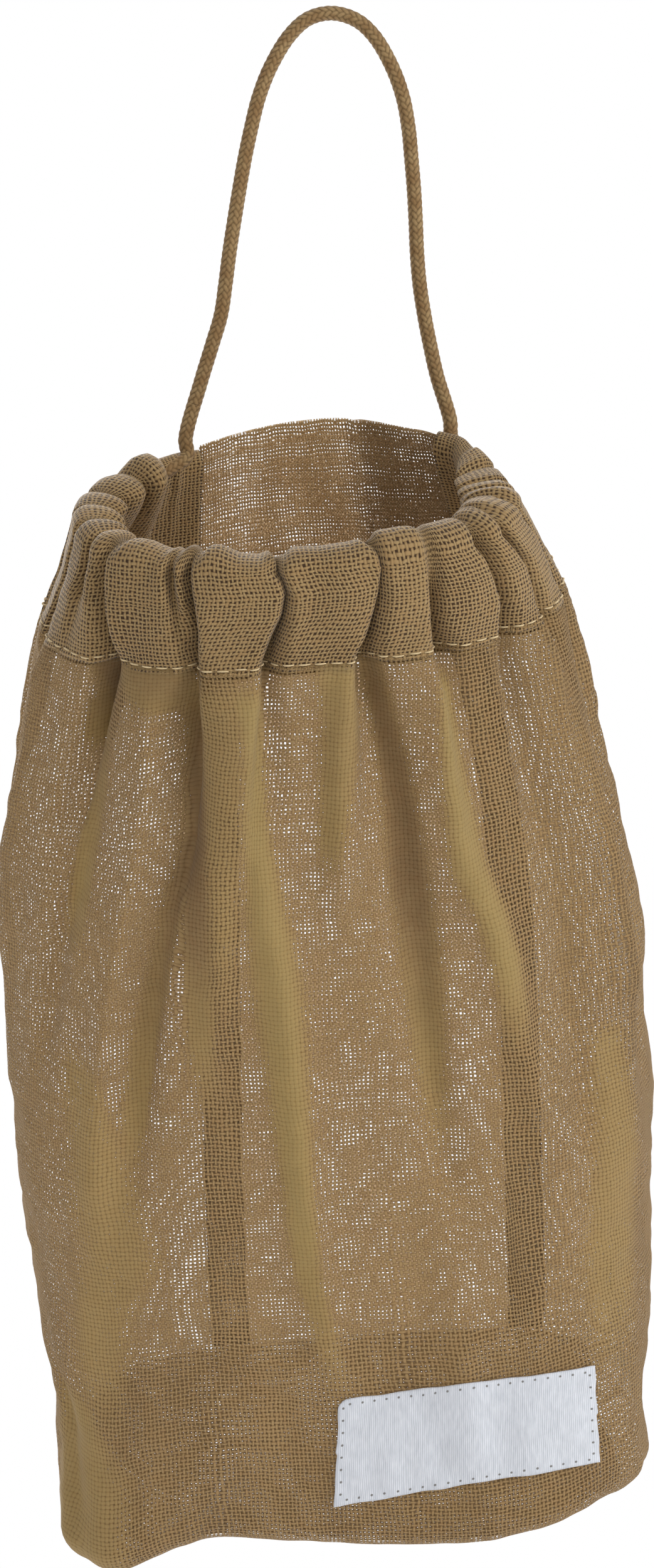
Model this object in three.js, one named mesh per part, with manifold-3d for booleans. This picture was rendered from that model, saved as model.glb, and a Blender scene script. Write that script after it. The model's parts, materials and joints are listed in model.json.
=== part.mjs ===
// Small produce bag of sheer plain-woven cotton, hanging open from the loop of its drawstring.
// Millimetres, +Z up. The origin is the underside of the loop's top, where it hangs on a hook.
// The bag has its own frame: u runs across it, v towards its back and w up along it. That frame
// starts at the mouth, midway between the two places where the cord comes out.

import Module from 'manifold-3d';
import * as THREE from 'three';
import { mergeVertices } from 'three/addons/utils/BufferGeometryUtils.js';

const wasm = await Module();
wasm.setup();

// How the bag hangs: where its mouth is, how far it leans so that its weight is below the exits,
// and how far it rolls
const mouthPlace = new THREE.Vector3(-3.1, 0.9, -97.4);
const hangLean = THREE.MathUtils.degToRad(20);
const hangRoll = THREE.MathUtils.degToRad(4);

// Cloth
const clothThickness = 0.8;
const hemThickness = 1.6;
const seamAllowance = 9.5;
const seamGap = 0.5;
const pieceGap = 0.3;

// Depths below the mouth
const casingDepth = 26;
const bagDepth = 235;
const baseFold = 7;

// Cord and the channel that it runs in
const cordDiameter = 3.5;
const channelClearance = 0.95;
const exitSpread = 62;
const exitInset = 4;
const pivotHeight = 2.5;
const neckLength = 8;
const bendReach = 5;
const joinLength = 14;
const joinWall = 0.5;

// Shares of the way round the front cloth that the casing's ends and its two sides take
const endShare = 0.075;
const leftSideShare = 0.25;
const rightSideShare = 0.32;

// Label, and how far to the right and how high above the base its middle is
const labelWidth = 60;
const labelHeight = 25;
const labelThickness = 0.6;
const labelAcross = 18;
const labelRise = 23;
const labelTurn = THREE.MathUtils.degToRad(6);

// Plan of the bag at six depths: how far it reaches left, right, back and to the front from the
// middle of the exits, how square it is, and how far left and right its two side seams are
const plans = [
  { depth: 0, left: 57, right: 47, back: 5, front: 80, square: 2.2, seamLeft: 28, seamRight: 28 },
  { depth: casingDepth, left: 67, right: 54, back: 4, front: 84, square: 2.3, seamLeft: 30, seamRight: 31 },
  { depth: 60, left: 76, right: 62, back: 4, front: 91, square: 2.4, seamLeft: 33, seamRight: 38 },
  { depth: 125, left: 83, right: 68, back: 4, front: 98, square: 2.7, seamLeft: 37, seamRight: 44 },
  { depth: 190, left: 82, right: 66, back: 3, front: 102, square: 3.2, seamLeft: 41, seamRight: 43 },
  { depth: bagDepth, left: 80, right: 63, back: 2, front: 104, square: 4, seamLeft: 43, seamRight: 42 },
];

// Pleats that the cord gathers: share of the way round, how deep, how wide and how far down they reach
const pleats = [
  { at: 0.105, deep: 3, wide: 5, reach: 50 },
  { at: 0.155, deep: 3, wide: 5, reach: 50 },
  { at: 0.205, deep: 3.5, wide: 5, reach: 60 },
  { at: 0.255, deep: 3, wide: 5, reach: 50 },
  { at: 0.356, deep: 5.5, wide: 5.5, reach: 60 },
  { at: 0.434, deep: 4.5, wide: 5, reach: 55 },
  { at: 0.502, deep: 4.5, wide: 4.5, reach: 50 },
  { at: 0.586, deep: 4.5, wide: 5, reach: 60 },
  { at: 0.635, deep: 2.5, wide: 4.5, reach: 40 },
  { at: 0.692, deep: 4.5, wide: 5, reach: 60 },
  { at: 0.738, deep: 3.5, wide: 5, reach: 55 },
  { at: 0.788, deep: 4, wide: 5, reach: 60 },
  { at: 0.834, deep: 4, wide: 5, reach: 50 },
  { at: 0.874, deep: 3.5, wide: 5, reach: 50 },
  { at: 0.914, deep: 3, wide: 5, reach: 40 },
];

// How far the cloth billows out between the pleats, by depth, and the shares of the way round
// between which it faces forward and does so
const billows = [[0, 2], [8, 3.2], [14, 3.4], [20, 3], [26, 2.2], [45, 0.8], [70, 0]];
const facing = { from: 0.3, to: 0.735, blend: 0.12 };

// Soft folds of the body: how far out or in, how wide, and their way down as depths and shares
const folds = [
  { out: 3.6, wide: 6, way: [[24, 0.465], [50, 0.463], [125, 0.46]] },
  { out: 3.2, wide: 4.5, way: [[24, 0.492], [38, 0.483], [63, 0.49], [97, 0.507], [146, 0.512], [225, 0.52]] },
  { out: 3.4, wide: 4.5, way: [[28, 0.629], [67, 0.633], [94, 0.656], [170, 0.68]] },
  { out: 3, wide: 5, way: [[30, 0.4], [50, 0.405], [75, 0.395], [110, 0.375], [180, 0.36]] },
  { out: 3.4, wide: 5, way: [[26, 0.737], [60, 0.752], [110, 0.757], [160, 0.75]] },
  { out: -4, wide: 5, way: [[24, 0.577], [46, 0.59], [75, 0.598], [112, 0.6], [175, 0.61]] },
  { out: -4.5, wide: 5, way: [[27, 0.368], [61, 0.367], [75, 0.358], [92, 0.342], [140, 0.31]] },
  { out: -4.5, wide: 5, way: [[30, 0.436], [50, 0.444], [63, 0.441], [76, 0.425], [93, 0.414], [165, 0.385]] },
  { out: -3, wide: 5, way: [[28, 0.7], [60, 0.705], [120, 0.71], [190, 0.7]] },
  { out: -3, wide: 5, way: [[28, 0.8], [80, 0.79], [160, 0.78]] },
  { out: -2.5, wide: 6, way: [[30, 0.91], [80, 0.9], [150, 0.91]] },
  { out: -2.5, wide: 6, way: [[30, 0.25], [70, 0.245], [140, 0.24]] },
  { out: -2.5, wide: 6, way: [[30, 0.14], [80, 0.12], [150, 0.1]] },
];

// Over how long a fold grows at its top, and the share of its way after which it runs out
const foldGrowth = 14;
const foldFull = 0.55;

// How much narrower the bag hangs near its base, at its left and its right, and how high above it
const waists = [
  { at: 0.21, rise: 26, in: 4.5, wide: 32, reach: 17 },
  { at: 0.86, rise: 7, in: 4.5, wide: 32, reach: 16 },
];

// The corner of the base that hangs out like an ear, at the front left
const ear = { at: 0.34, out: 5, wide: 13, reach: 20 };

// How far the back's top edge arches above the exits, how far the channel lies inside the pleats'
// crests, and how far below the channel's crown the casing's two cloths come together
const backArch = 3.5;
const channelInset = 3;
const crownToFlange = 3;

// Route of the cord's free loop, between its two necks
const loopRoute = [
  [-30.6, 0, -84], [-28, 0, -75.5], [-25.9, 0, -68.4], [-24.8, 0, -61], [-23.9, 0, -53.9],
  [-22.8, 0, -46.7], [-21.6, 0, -39.4], [-20.3, 0, -32], [-18.8, 0, -24.9], [-17, 0, -17.7],
  [-14.2, 0, -10.6], [-9.8, 0, -3.4], [-5.4, 0, 0.5], [0, 0, 1.75], [5.6, 0, 0.2],
  [9.8, 0, -3.5], [14, 0, -10.6], [16.6, 0, -17.8], [17.9, 0, -24.9], [18.6, 0, -32.2],
  [19.2, 0, -39.4], [19.6, 0, -46.6], [19.9, 0, -53.8], [20.5, 0, -61], [21.6, 0, -68.3],
  [23, 0, -75.5], [24.6, 0, -82.6],
];

// Finish
const clothColour = 0xa58a58;
const hemColour = 0x98794a;
const cordColour = 0x8a7a50;
const labelColour = 0xe6e8e8;
const threadColour = 0xc0a676;

// Counts of facets. Rows of a wall crowd towards its top by a power
const columns = 76;
const backColumns = 16;
const wallRowCount = 10;
const rowCrowding = 1.4;
const foldRowCount = 3;
const hemColumns = 20;
const hemRowCount = 4;
const flangeRowCount = 3;
const crownSteps = 8;
const bendSteps = 5;
const labelColumns = 12;
const labelRows = 4;
const loopSteps = 30;
const channelSteps = 110;
const cordSides = 8;
const ringSamples = 72;

// The crown of the casing closes round this share of a half turn to each side of its top
const crownShare = 0.75;

// The stretch of the front cloth, as shares, that the label is on, and how often it is halved
const labelStretch = [0.3, 0.75];
const halvings = 24;

const cordRadius = cordDiameter / 2;
const channelRadius = cordRadius + channelClearance;
const crownRadius = channelRadius + clothThickness;
const channelHeight = -crownRadius;
const cordStep = 2.5 * cordDiameter;
const front = 'front';
const back = 'back';

// One number of the plan at a height, on a smooth curve through the listed depths
function planValue(name, height) {
  const depth = THREE.MathUtils.clamp(-height, 0, bagDepth);
  let next = 1;
  while (next < plans.length - 1 && plans[next].depth < depth) next += 1;
  const from = plans[next - 1];
  const to = plans[next];
  const slope = (one, two) => (two[name] - one[name]) / (two.depth - one.depth);
  const before = plans[Math.max(next - 2, 0)];
  const after = plans[Math.min(next + 1, plans.length - 1)];
  const span = to.depth - from.depth;
  const startSlope = slope(before, to);
  const endSlope = slope(from, after);
  const t = (depth - from.depth) / span;
  const startPart = (1 + 2 * t) * (1 - t) ** 2 * from[name] + t * (1 - t) ** 2 * span * startSlope;
  const endPart = t * t * (3 - 2 * t) * to[name] + t * t * (t - 1) * span * endSlope;
  return startPart + endPart;
}

// The plan at a height is a rounded oblong, given here as a point at an angle
function planPoint(plan, angle) {
  const power = 2 / plan.square;
  const across = Math.sign(Math.cos(angle)) * Math.abs(Math.cos(angle)) ** power;
  const along = Math.sign(Math.sin(angle)) * Math.abs(Math.sin(angle)) ** power;
  return new THREE.Vector2(plan.centreU + plan.halfWidth * across, plan.centreV + plan.halfDepth * along);
}

// The curve of the front cloth or of the back one at a height, seam to seam, anticlockwise from above
const arcs = new Map();
function arcAt(side, height) {
  const key = `${side} ${height}`;
  if (arcs.has(key)) return arcs.get(key);
  const left = planValue('left', height);
  const right = planValue('right', height);
  const backReach = planValue('back', height);
  const frontReach = planValue('front', height);
  const plan = {
    centreU: (right - left) / 2,
    centreV: (backReach - frontReach) / 2,
    halfWidth: (left + right) / 2,
    halfDepth: (backReach + frontReach) / 2,
    square: planValue('square', height),
  };
  const seamAngle = (u) => {
    const across = (u - plan.centreU) / plan.halfWidth;
    return Math.acos(Math.sign(across) * Math.abs(across) ** (plan.square / 2));
  };
  const shift = side === front ? seamGap / 2 : -seamGap / 2;
  const leftAngle = seamAngle(-planValue('seamLeft', height) - shift);
  const rightAngle = seamAngle(planValue('seamRight', height) + shift);
  const start = side === front ? leftAngle : rightAngle;
  const end = side === front ? rightAngle + 2 * Math.PI : leftAngle;
  const points = [];
  for (let i = 0; i <= ringSamples; i += 1) {
    points.push(planPoint(plan, THREE.MathUtils.lerp(start, end, i / ringSamples)));
  }
  const arc = new THREE.SplineCurve(points);
  arcs.set(key, arc);
  return arc;
}

function outward(side, share, height) {
  const tangent = arcAt(side, height).getTangentAt(share);
  return new THREE.Vector2(tangent.y, -tangent.x);
}

function bump(distance, width) {
  return Math.exp(-((distance / width) ** 2));
}

// A table's second value at a place, in straight lines between its rows and flat beyond its ends
function tableValue(rows, place) {
  const after = rows.findIndex(([at]) => at > place);
  if (after === 0) return rows[0][1];
  if (after < 0) return rows[rows.length - 1][1];
  const [from, low] = rows[after - 1];
  const [to, high] = rows[after];
  return THREE.MathUtils.mapLinear(place, from, to, low, high);
}

// How far the front cloth billows out at a place
function billowAt(share, depth) {
  const half = facing.blend / 2;
  const begun = THREE.MathUtils.smoothstep(share, facing.from - half, facing.from + half);
  const ended = THREE.MathUtils.smoothstep(share, facing.to - half, facing.to + half);
  return tableValue(billows, depth) * begun * (1 - ended);
}

// How far a fold stands out at a place of the front cloth
function foldAt(fold, share, depth, round) {
  const [top] = fold.way[0];
  const [foot] = fold.way[fold.way.length - 1];
  const grown = THREE.MathUtils.smoothstep(depth, top - foldGrowth / 2, top + foldGrowth / 2);
  const ended = THREE.MathUtils.smoothstep(depth, THREE.MathUtils.lerp(top, foot, foldFull), foot);
  if (grown === 0 || ended === 1) return 0;
  const away = (share - tableValue(fold.way, depth)) * round;
  return fold.out * grown * (1 - ended) * bump(away, fold.wide);
}

// How far the front cloth stands out from its smooth plan, or in from it, as in the pleats
function ruffle(share, height) {
  const round = arcAt(front, height).getLength();
  const mouthRound = arcAt(front, 0).getLength();
  let out = ear.out * bump((share - ear.at) * round, ear.wide) * bump(height + bagDepth, ear.reach);
  out += billowAt(share, -height);
  for (const fold of folds) out += foldAt(fold, share, -height, round);
  for (const waist of waists) {
    const above = height + bagDepth - waist.rise;
    out -= waist.in * bump((share - waist.at) * round, waist.wide) * bump(above, waist.reach);
  }
  for (const pleat of pleats) {
    const fade = Math.max(0, 1 - Math.max(0, -height - casingDepth) / pleat.reach) ** 2;
    out -= pleat.deep * fade * bump((share - pleat.at) * mouthRound, pleat.wide);
  }
  return out;
}

// A point of the cloth's middle, moved inwards by an inset
function clothPoint(side, share, height, inset = 0) {
  const out = side === front ? ruffle(share, height) - inset : -inset;
  const place = arcAt(side, height).getPointAt(share).addScaledVector(outward(side, share, height), out);
  return new THREE.Vector3(place.x, place.y, height);
}

function channelPoint(share) {
  const place = arcAt(front, 0).getPointAt(share);
  place.addScaledVector(outward(front, share, 0), -channelInset);
  return new THREE.Vector3(place.x, place.y, channelHeight);
}

// A closed skin between two grids of the same size, the first one outside
function skin(outer, inner) {
  const rows = outer.length;
  const across = outer[0].length;
  const vertices = [...outer.flat(), ...inner.flat()];
  const at = (layer, row, column) => (layer * rows + row) * across + column;
  const index = [];
  const quad = (a, b, c, d) => index.push(a, b, c, a, c, d);
  for (let r = 0; r < rows - 1; r += 1) {
    for (let c = 0; c < across - 1; c += 1) {
      quad(at(0, r, c), at(0, r + 1, c), at(0, r + 1, c + 1), at(0, r, c + 1));
      quad(at(1, r, c), at(1, r, c + 1), at(1, r + 1, c + 1), at(1, r + 1, c));
    }
    const last = across - 1;
    quad(at(0, r, 0), at(1, r, 0), at(1, r + 1, 0), at(0, r + 1, 0));
    quad(at(0, r, last), at(0, r + 1, last), at(1, r + 1, last), at(1, r, last));
  }
  for (let c = 0; c < across - 1; c += 1) {
    const last = rows - 1;
    quad(at(0, 0, c), at(0, 0, c + 1), at(1, 0, c + 1), at(1, 0, c));
    quad(at(0, last, c), at(1, last, c), at(1, last, c + 1), at(0, last, c + 1));
  }
  return solid(vertices, index);
}

function solid(vertices, index) {
  const geometry = new THREE.BufferGeometry();
  const numbers = vertices.flatMap((vertex) => [vertex.x, vertex.y, vertex.z]);
  geometry.setAttribute('position', new THREE.Float32BufferAttribute(numbers, 3));
  geometry.setIndex(index);
  return geometry;
}

// A sheet of cloth of one thickness on a grid of points, rows going down and columns anticlockwise
function sheet(grid, thickness) {
  const lay = (side) => grid.map((row, r) => row.map((point, c) => {
    const down = grid[Math.min(r + 1, grid.length - 1)][c].clone().sub(grid[Math.max(r - 1, 0)][c]);
    const along = row[Math.min(c + 1, row.length - 1)].clone().sub(row[Math.max(c - 1, 0)]);
    const normal = down.cross(along).normalize();
    return point.clone().addScaledVector(normal, side * thickness / 2);
  }));
  return skin(lay(1), lay(-1));
}

function shares(from, to, count) {
  return Array.from({ length: count + 1 }, (_, i) => THREE.MathUtils.lerp(from, to, i / count));
}

// Heights of a panel's rows from a top down to the base, close together near the top, and then the
// quarter turn in which the wall folds under
function wallRows(top) {
  const rows = [];
  const upright = bagDepth - baseFold;
  for (const t of shares(0, 1, wallRowCount)) {
    rows.push({ height: -THREE.MathUtils.lerp(top, upright, t ** rowCrowding), inset: 0 });
  }
  for (const t of shares(0, 1, foldRowCount).slice(1)) {
    const turn = t * Math.PI / 2;
    const height = -upright - baseFold * Math.sin(turn);
    rows.push({ height, inset: baseFold * (1 - Math.cos(turn)) });
  }
  return rows;
}

function panel(side, top, count) {
  const grid = wallRows(top).map((row) => shares(0, 1, count)
    .map((share) => clothPoint(side, share, row.height, row.inset)));
  return sheet(grid, clothThickness);
}

// The flat base, cut to the fold that the walls end in
function basePanel() {
  const inset = baseFold + pieceGap;
  const outline = [];
  for (const [side, count] of [[front, columns], [back, backColumns]]) {
    for (const share of shares(0, 1, count)) {
      const point = clothPoint(side, share, -bagDepth, inset);
      outline.push(new THREE.Vector2(point.x, point.y));
    }
  }
  const options = { depth: clothThickness, bevelEnabled: false };
  const geometry = new THREE.ExtrudeGeometry(new THREE.Shape(outline), options);
  return geometry.translate(0, 0, -bagDepth - clothThickness / 2);
}

// The allowances of a side seam, turned in and lying flat on the back cloth
function seamStrip(isLeft) {
  const top = casingDepth + pieceGap;
  const heights = shares(top, bagDepth - baseFold, wallRowCount).map((depth) => -depth);
  const grid = heights.map((height) => {
    const width = seamAllowance / arcAt(back, height).getLength();
    const range = isLeft ? [1 - width, 1] : [0, width];
    const inset = clothThickness + pieceGap;
    return shares(range[0], range[1], 2).map((share) => clothPoint(back, share, height, inset));
  });
  return sheet(grid, clothThickness);
}

// A point of a hem, which lies on the cloth below it but keeps straight down from the mouth's edge
function hemPoint(side, share, out, height) {
  const mouth = arcAt(side, 0).getPointAt(share);
  const cloth = clothPoint(side, share, height);
  const away = outward(side, share, 0);
  const reach = away.dot(new THREE.Vector2(cloth.x, cloth.y).sub(mouth)) + out;
  mouth.addScaledVector(away, reach);
  return new THREE.Vector3(mouth.x, mouth.y, height);
}

// The folded hem along the back's top edge, which arches a little
function backHem() {
  const rows = shares(0, 1, hemRowCount);
  const bottom = -casingDepth;
  const grid = rows.map((t) => shares(0, 1, hemColumns).map((share) => {
    const top = backArch * Math.sin(Math.PI * share);
    return hemPoint(back, share, 0, bottom * t).setZ(THREE.MathUtils.lerp(top, bottom, t));
  }));
  return sheet(grid, hemThickness);
}

// The casing's section at one place: a crown over the channel and a flange of two cloths below it
function casingSection(share) {
  const centre = channelPoint(share);
  const out = outward(front, share, 0);
  const along = (distance, height) => new THREE.Vector3(
    centre.x + out.x * distance,
    centre.y + out.y * distance,
    height,
  );
  const flange = (side) => shares(-2 * crownRadius - crownToFlange, -casingDepth, flangeRowCount)
    .map((height) => hemPoint(front, share, side * hemThickness / 2, height));
  const puff = Math.max(0, channelInset + ruffle(share, 0) + hemThickness / 2 - crownRadius);
  const crown = [];
  for (const turn of shares(-crownShare, crownShare, crownSteps)) {
    const angle = turn * Math.PI;
    const reach = turn > 0 ? crownRadius + puff * Math.sin(Math.min(angle, Math.PI / 2)) : crownRadius;
    crown.push(along(reach * Math.sin(angle), channelHeight + crownRadius * Math.cos(angle)));
  }
  return [...flange(-1).reverse(), ...crown, ...flange(1)];
}

// A body swept through a row of closed sections
function loft(sections) {
  const size = sections[0].length;
  const index = [];
  for (let s = 0; s < sections.length - 1; s += 1) {
    for (let i = 0; i < size; i += 1) {
      const a = s * size + i;
      const b = s * size + (i + 1) % size;
      index.push(a, b, b + size, a, b + size, a + size);
    }
  }
  const flat = (section) => {
    const axis = section[section.length - 1].clone().sub(section[0]).setZ(0).normalize();
    return section.map((point) => new THREE.Vector2(point.dot(axis), point.z));
  };
  const capAt = (place) => THREE.ShapeUtils.triangulateShape(flat(sections[place]), []);
  const offset = (sections.length - 1) * size;
  for (const [a, b, c] of capAt(0)) index.push(a, b, c);
  for (const [a, b, c] of capAt(sections.length - 1)) index.push(a + offset, c + offset, b + offset);
  return solid(sections.flat(), index);
}

function toManifold(geometry) {
  const bare = geometry.clone();
  bare.deleteAttribute('normal');
  bare.deleteAttribute('uv');
  const merged = mergeVertices(bare, 1e-4);
  const vertProperties = new Float32Array(merged.attributes.position.array);
  const triVerts = new Uint32Array(merged.index.array);
  return new wasm.Manifold(new wasm.Mesh({ numProp: 3, vertProperties, triVerts }));
}

function cut(geometry, tool) {
  const mesh = toManifold(geometry).subtract(toManifold(tool)).getMesh();
  const result = new THREE.BufferGeometry();
  result.setAttribute('position', new THREE.BufferAttribute(mesh.vertProperties, 3));
  result.setIndex(new THREE.BufferAttribute(mesh.triVerts, 1));
  return result;
}

// A round cord along a curve
function cordAlong(points, radius, steps) {
  const section = new THREE.Shape();
  for (let i = 0; i < cordSides; i += 1) {
    const angle = (i + 0.5) * 2 * Math.PI / cordSides;
    const corner = [radius * Math.cos(angle), radius * Math.sin(angle)];
    if (i === 0) section.moveTo(...corner);
    else section.lineTo(...corner);
  }
  const extrudePath = new THREE.CatmullRomCurve3(points, false, 'centripetal');
  return new THREE.ExtrudeGeometry(section, { extrudePath, steps, bevelEnabled: false });
}

// Where the cord comes out, and the pivot just above it about which the loop swings
const mouthRound = arcAt(front, 0).getLength();
const exitShare = exitInset / mouthRound;
const pivots = [-1, 1].map((side) => new THREE.Vector3(side * exitSpread / 2, 0, pivotHeight));

// Route of the hidden cord: down from a pivot, round a bend into the channel, and along the casing
function hiddenRoute(isLeft) {
  const pivot = isLeft ? pivots[0] : pivots[1];
  const bendShare = exitShare + bendReach / mouthRound;
  const corner = pivot.clone().setZ(channelHeight);
  const end = channelPoint(isLeft ? bendShare : 1 - bendShare);
  const top = pivot.clone().setZ(pivotHeight - cordRadius - pieceGap);
  return { top, turn: new THREE.QuadraticBezierCurve3(top, corner, end).getPoints(bendSteps), bendShare };
}

function channelRun(from, to, count) {
  return shares(from, to, count).map(channelPoint);
}

const leftWay = hiddenRoute(true);
const rightWay = hiddenRoute(false);

// The room that the cord needs in the casing, from above one exit to above the other
function channelTool() {
  const clear = 2 * crownRadius;
  const points = [
    leftWay.top.clone().setZ(clear),
    ...leftWay.turn,
    ...channelRun(leftWay.bendShare, 1 - rightWay.bendShare, columns).slice(1, -1),
    ...[...rightWay.turn].reverse(),
    rightWay.top.clone().setZ(clear),
  ];
  return cordAlong(points, channelRadius, channelSteps);
}

const tool = channelTool();

function casingPiece(from, to, count) {
  return cut(loft(shares(from, to, count).map(casingSection)), tool);
}

// A short neck of cord with a round lower end, which turns at the pivot
function neck(pivot, towards) {
  const profile = [];
  for (const turn of shares(-0.5, 0, 3)) {
    profile.push(new THREE.Vector2(cordRadius * Math.cos(turn * Math.PI), cordRadius * Math.sin(turn * Math.PI)));
  }
  profile[0].x = 0;
  profile.push(new THREE.Vector2(cordRadius, neckLength), new THREE.Vector2(0, neckLength));
  const geometry = new THREE.LatheGeometry(profile, cordSides);
  const turn = new THREE.Quaternion().setFromUnitVectors(new THREE.Vector3(0, 1, 0), towards);
  return geometry.applyQuaternion(turn).translate(pivot.x, pivot.y, pivot.z);
}

// The binding that joins the cord's two ends, hidden at the front of the casing
function cordJoin() {
  const middle = 0.5;
  const half = joinLength / 2 / mouthRound;
  const bore = cordRadius + pieceGap;
  const inner = cordAlong(channelRun(middle - 2 * half, middle + 2 * half, 8), bore, 12);
  const outer = cordAlong(channelRun(middle - half, middle + half, 4), bore + joinWall, 6);
  return cut(outer, inner);
}

// The woven label on the outside of the front, turned a little
function label() {
  const gap = clothThickness / 2 + pieceGap + labelThickness / 2;
  const across = shares(-labelWidth / 2, labelWidth / 2, labelColumns);
  const down = shares(labelHeight / 2, -labelHeight / 2, labelRows);
  const grid = down.map((y) => across.map((x) => {
    const u = labelAcross + x * Math.cos(labelTurn) - y * Math.sin(labelTurn);
    const height = labelRise - bagDepth + x * Math.sin(labelTurn) + y * Math.cos(labelTurn);
    return clothPoint(front, shareAt(u, height), height, -gap);
  }));
  return sheet(grid, labelThickness);
}

// The share of the way round at which the front cloth is at a place across, found by halving
function shareAt(u, height) {
  let [low, high] = labelStretch;
  for (let i = 0; i < halvings; i += 1) {
    const middle = (low + high) / 2;
    if (arcAt(front, height).getPointAt(middle).x < u) low = middle;
    else high = middle;
  }
  return low;
}

function material(color, roughness) {
  return new THREE.MeshStandardMaterial({ color, roughness, metalness: 0 });
}

function add(group, name, geometry, color, roughness = 0.9) {
  const mesh = new THREE.Mesh(geometry, material(color, roughness));
  mesh.name = name;
  group.add(mesh);
}

const bag = new THREE.Group();
bag.position.copy(mouthPlace);
bag.rotation.set(hangLean, -hangRoll, 0, 'YXZ');
bag.updateMatrixWorld();

const topOfPanels = casingDepth + pieceGap;
const gapShare = pieceGap / 2 / mouthRound;
add(bag, 'front_panel', panel(front, topOfPanels, columns), clothColour);
add(bag, 'back_panel', panel(back, topOfPanels, backColumns), clothColour);
add(bag, 'base_panel', basePanel(), clothColour);
add(bag, 'seam_left', seamStrip(true), hemColour);
add(bag, 'seam_right', seamStrip(false), hemColour);
add(bag, 'back_hem', backHem(), hemColour);
add(bag, 'label', label(), labelColour);

// The casing in five lengths, and the cord in it in the same lengths
const stops = [0, endShare, leftSideShare, 1 - rightSideShare, 1 - endShare, 1];
const casingNames = ['casing_end_left', 'casing_left', 'casing_front', 'casing_right', 'casing_end_right'];
casingNames.forEach((name, i) => {
  const count = Math.ceil((stops[i + 1] - stops[i]) * columns);
  add(bag, name, casingPiece(stops[i] + gapShare, stops[i + 1] - gapShare, count), hemColour);
});

function cordLength(name, points, step) {
  const length = new THREE.CatmullRomCurve3(points, false, 'centripetal').getLength();
  add(bag, name, cordAlong(points, cordRadius, Math.ceil(length / step)), cordColour);
}

const leftBend = [...leftWay.turn, ...channelRun(leftWay.bendShare, endShare - gapShare, 2).slice(1)];
const rightEnd = 1 - endShare + gapShare;
const rightBend = [...rightWay.turn, ...channelRun(1 - rightWay.bendShare, rightEnd, 2).slice(1)];
cordLength('cord_bend_left', leftBend, cordRadius);
cordLength('cord_bend_right', rightBend, cordRadius);
['cord_side_left', 'cord_front', 'cord_side_right'].forEach((name, i) => {
  const count = Math.ceil((stops[i + 2] - stops[i + 1]) * columns);
  cordLength(name, channelRun(stops[i + 1] + gapShare, stops[i + 2] - gapShare, count), cordStep);
});
add(bag, 'cord_join', cordJoin(), threadColour);

// The necks stand in the loop's own direction, and the loop runs from one to the other
const route = loopRoute.map(([x, y, z]) => new THREE.Vector3(x, y, z));
const worldPivots = pivots.map((pivot) => bag.localToWorld(pivot.clone()));
const towards = [route[0], route[route.length - 1]].map((point, i) => point.clone().sub(worldPivots[i]).normalize());
const starts = worldPivots.map((pivot, i) => pivot.clone().addScaledVector(towards[i], neckLength + pieceGap));

const model = new THREE.Group();
model.add(bag);
add(model, 'cord_neck_left', neck(worldPivots[0], towards[0]), cordColour);
add(model, 'cord_neck_right', neck(worldPivots[1], towards[1]), cordColour);
add(model, 'drawstring_loop', cordAlong([starts[0], ...route, starts[1]], cordRadius, loopSteps), cordColour);

export default model;
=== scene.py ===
"""Looks of the produce bag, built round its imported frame.

Lengths are millimetres. Cloth is shaped in the bag's own frame: across, back and up, from the mouth,
midway between the two places where the cord comes out. to_row() gives metres in the row frame.
"""
import json
import math

import bpy
import numpy as np
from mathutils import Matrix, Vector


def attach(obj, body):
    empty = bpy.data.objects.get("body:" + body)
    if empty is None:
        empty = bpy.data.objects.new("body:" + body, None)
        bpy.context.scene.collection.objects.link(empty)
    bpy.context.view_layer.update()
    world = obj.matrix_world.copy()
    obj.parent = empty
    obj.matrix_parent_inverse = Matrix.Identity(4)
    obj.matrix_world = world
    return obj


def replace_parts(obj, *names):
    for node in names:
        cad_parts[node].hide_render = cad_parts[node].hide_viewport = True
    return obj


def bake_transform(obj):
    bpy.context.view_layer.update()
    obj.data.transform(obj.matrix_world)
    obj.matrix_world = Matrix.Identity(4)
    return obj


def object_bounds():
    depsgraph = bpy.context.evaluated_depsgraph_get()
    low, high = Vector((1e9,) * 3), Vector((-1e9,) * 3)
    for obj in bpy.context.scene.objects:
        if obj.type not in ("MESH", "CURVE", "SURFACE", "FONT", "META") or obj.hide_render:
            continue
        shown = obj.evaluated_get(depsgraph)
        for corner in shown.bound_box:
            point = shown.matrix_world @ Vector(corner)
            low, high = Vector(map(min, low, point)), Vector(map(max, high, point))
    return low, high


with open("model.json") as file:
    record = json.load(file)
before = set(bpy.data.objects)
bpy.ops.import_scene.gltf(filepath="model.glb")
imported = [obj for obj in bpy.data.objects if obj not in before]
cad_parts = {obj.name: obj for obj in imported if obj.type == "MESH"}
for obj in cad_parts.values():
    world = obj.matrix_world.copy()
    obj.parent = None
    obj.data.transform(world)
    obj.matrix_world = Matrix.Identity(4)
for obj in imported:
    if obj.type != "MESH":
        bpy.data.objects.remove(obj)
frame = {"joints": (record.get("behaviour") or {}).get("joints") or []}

MM = 0.001
cad_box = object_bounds()
random = np.random.default_rng(11)

# The bag's own frame, from its joints
joints = {joint["name"]: joint for joint in frame["joints"]}
PIVOT_HEIGHT = 2.5
across = np.array(joints["handle_swing"]["axis"])
back = np.array(joints["mouth_cinch"]["axis"])
axes = np.array([across, back, np.cross(across, back)])
pivot = np.array(joints["handle_swing"]["pos_m"]) / MM
origin = pivot - PIVOT_HEIGHT * axes[2]


def in_row(points):
    """Points of the bag's frame in the row frame, still in millimetres."""
    return origin + np.asarray(points, float) @ axes


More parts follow.
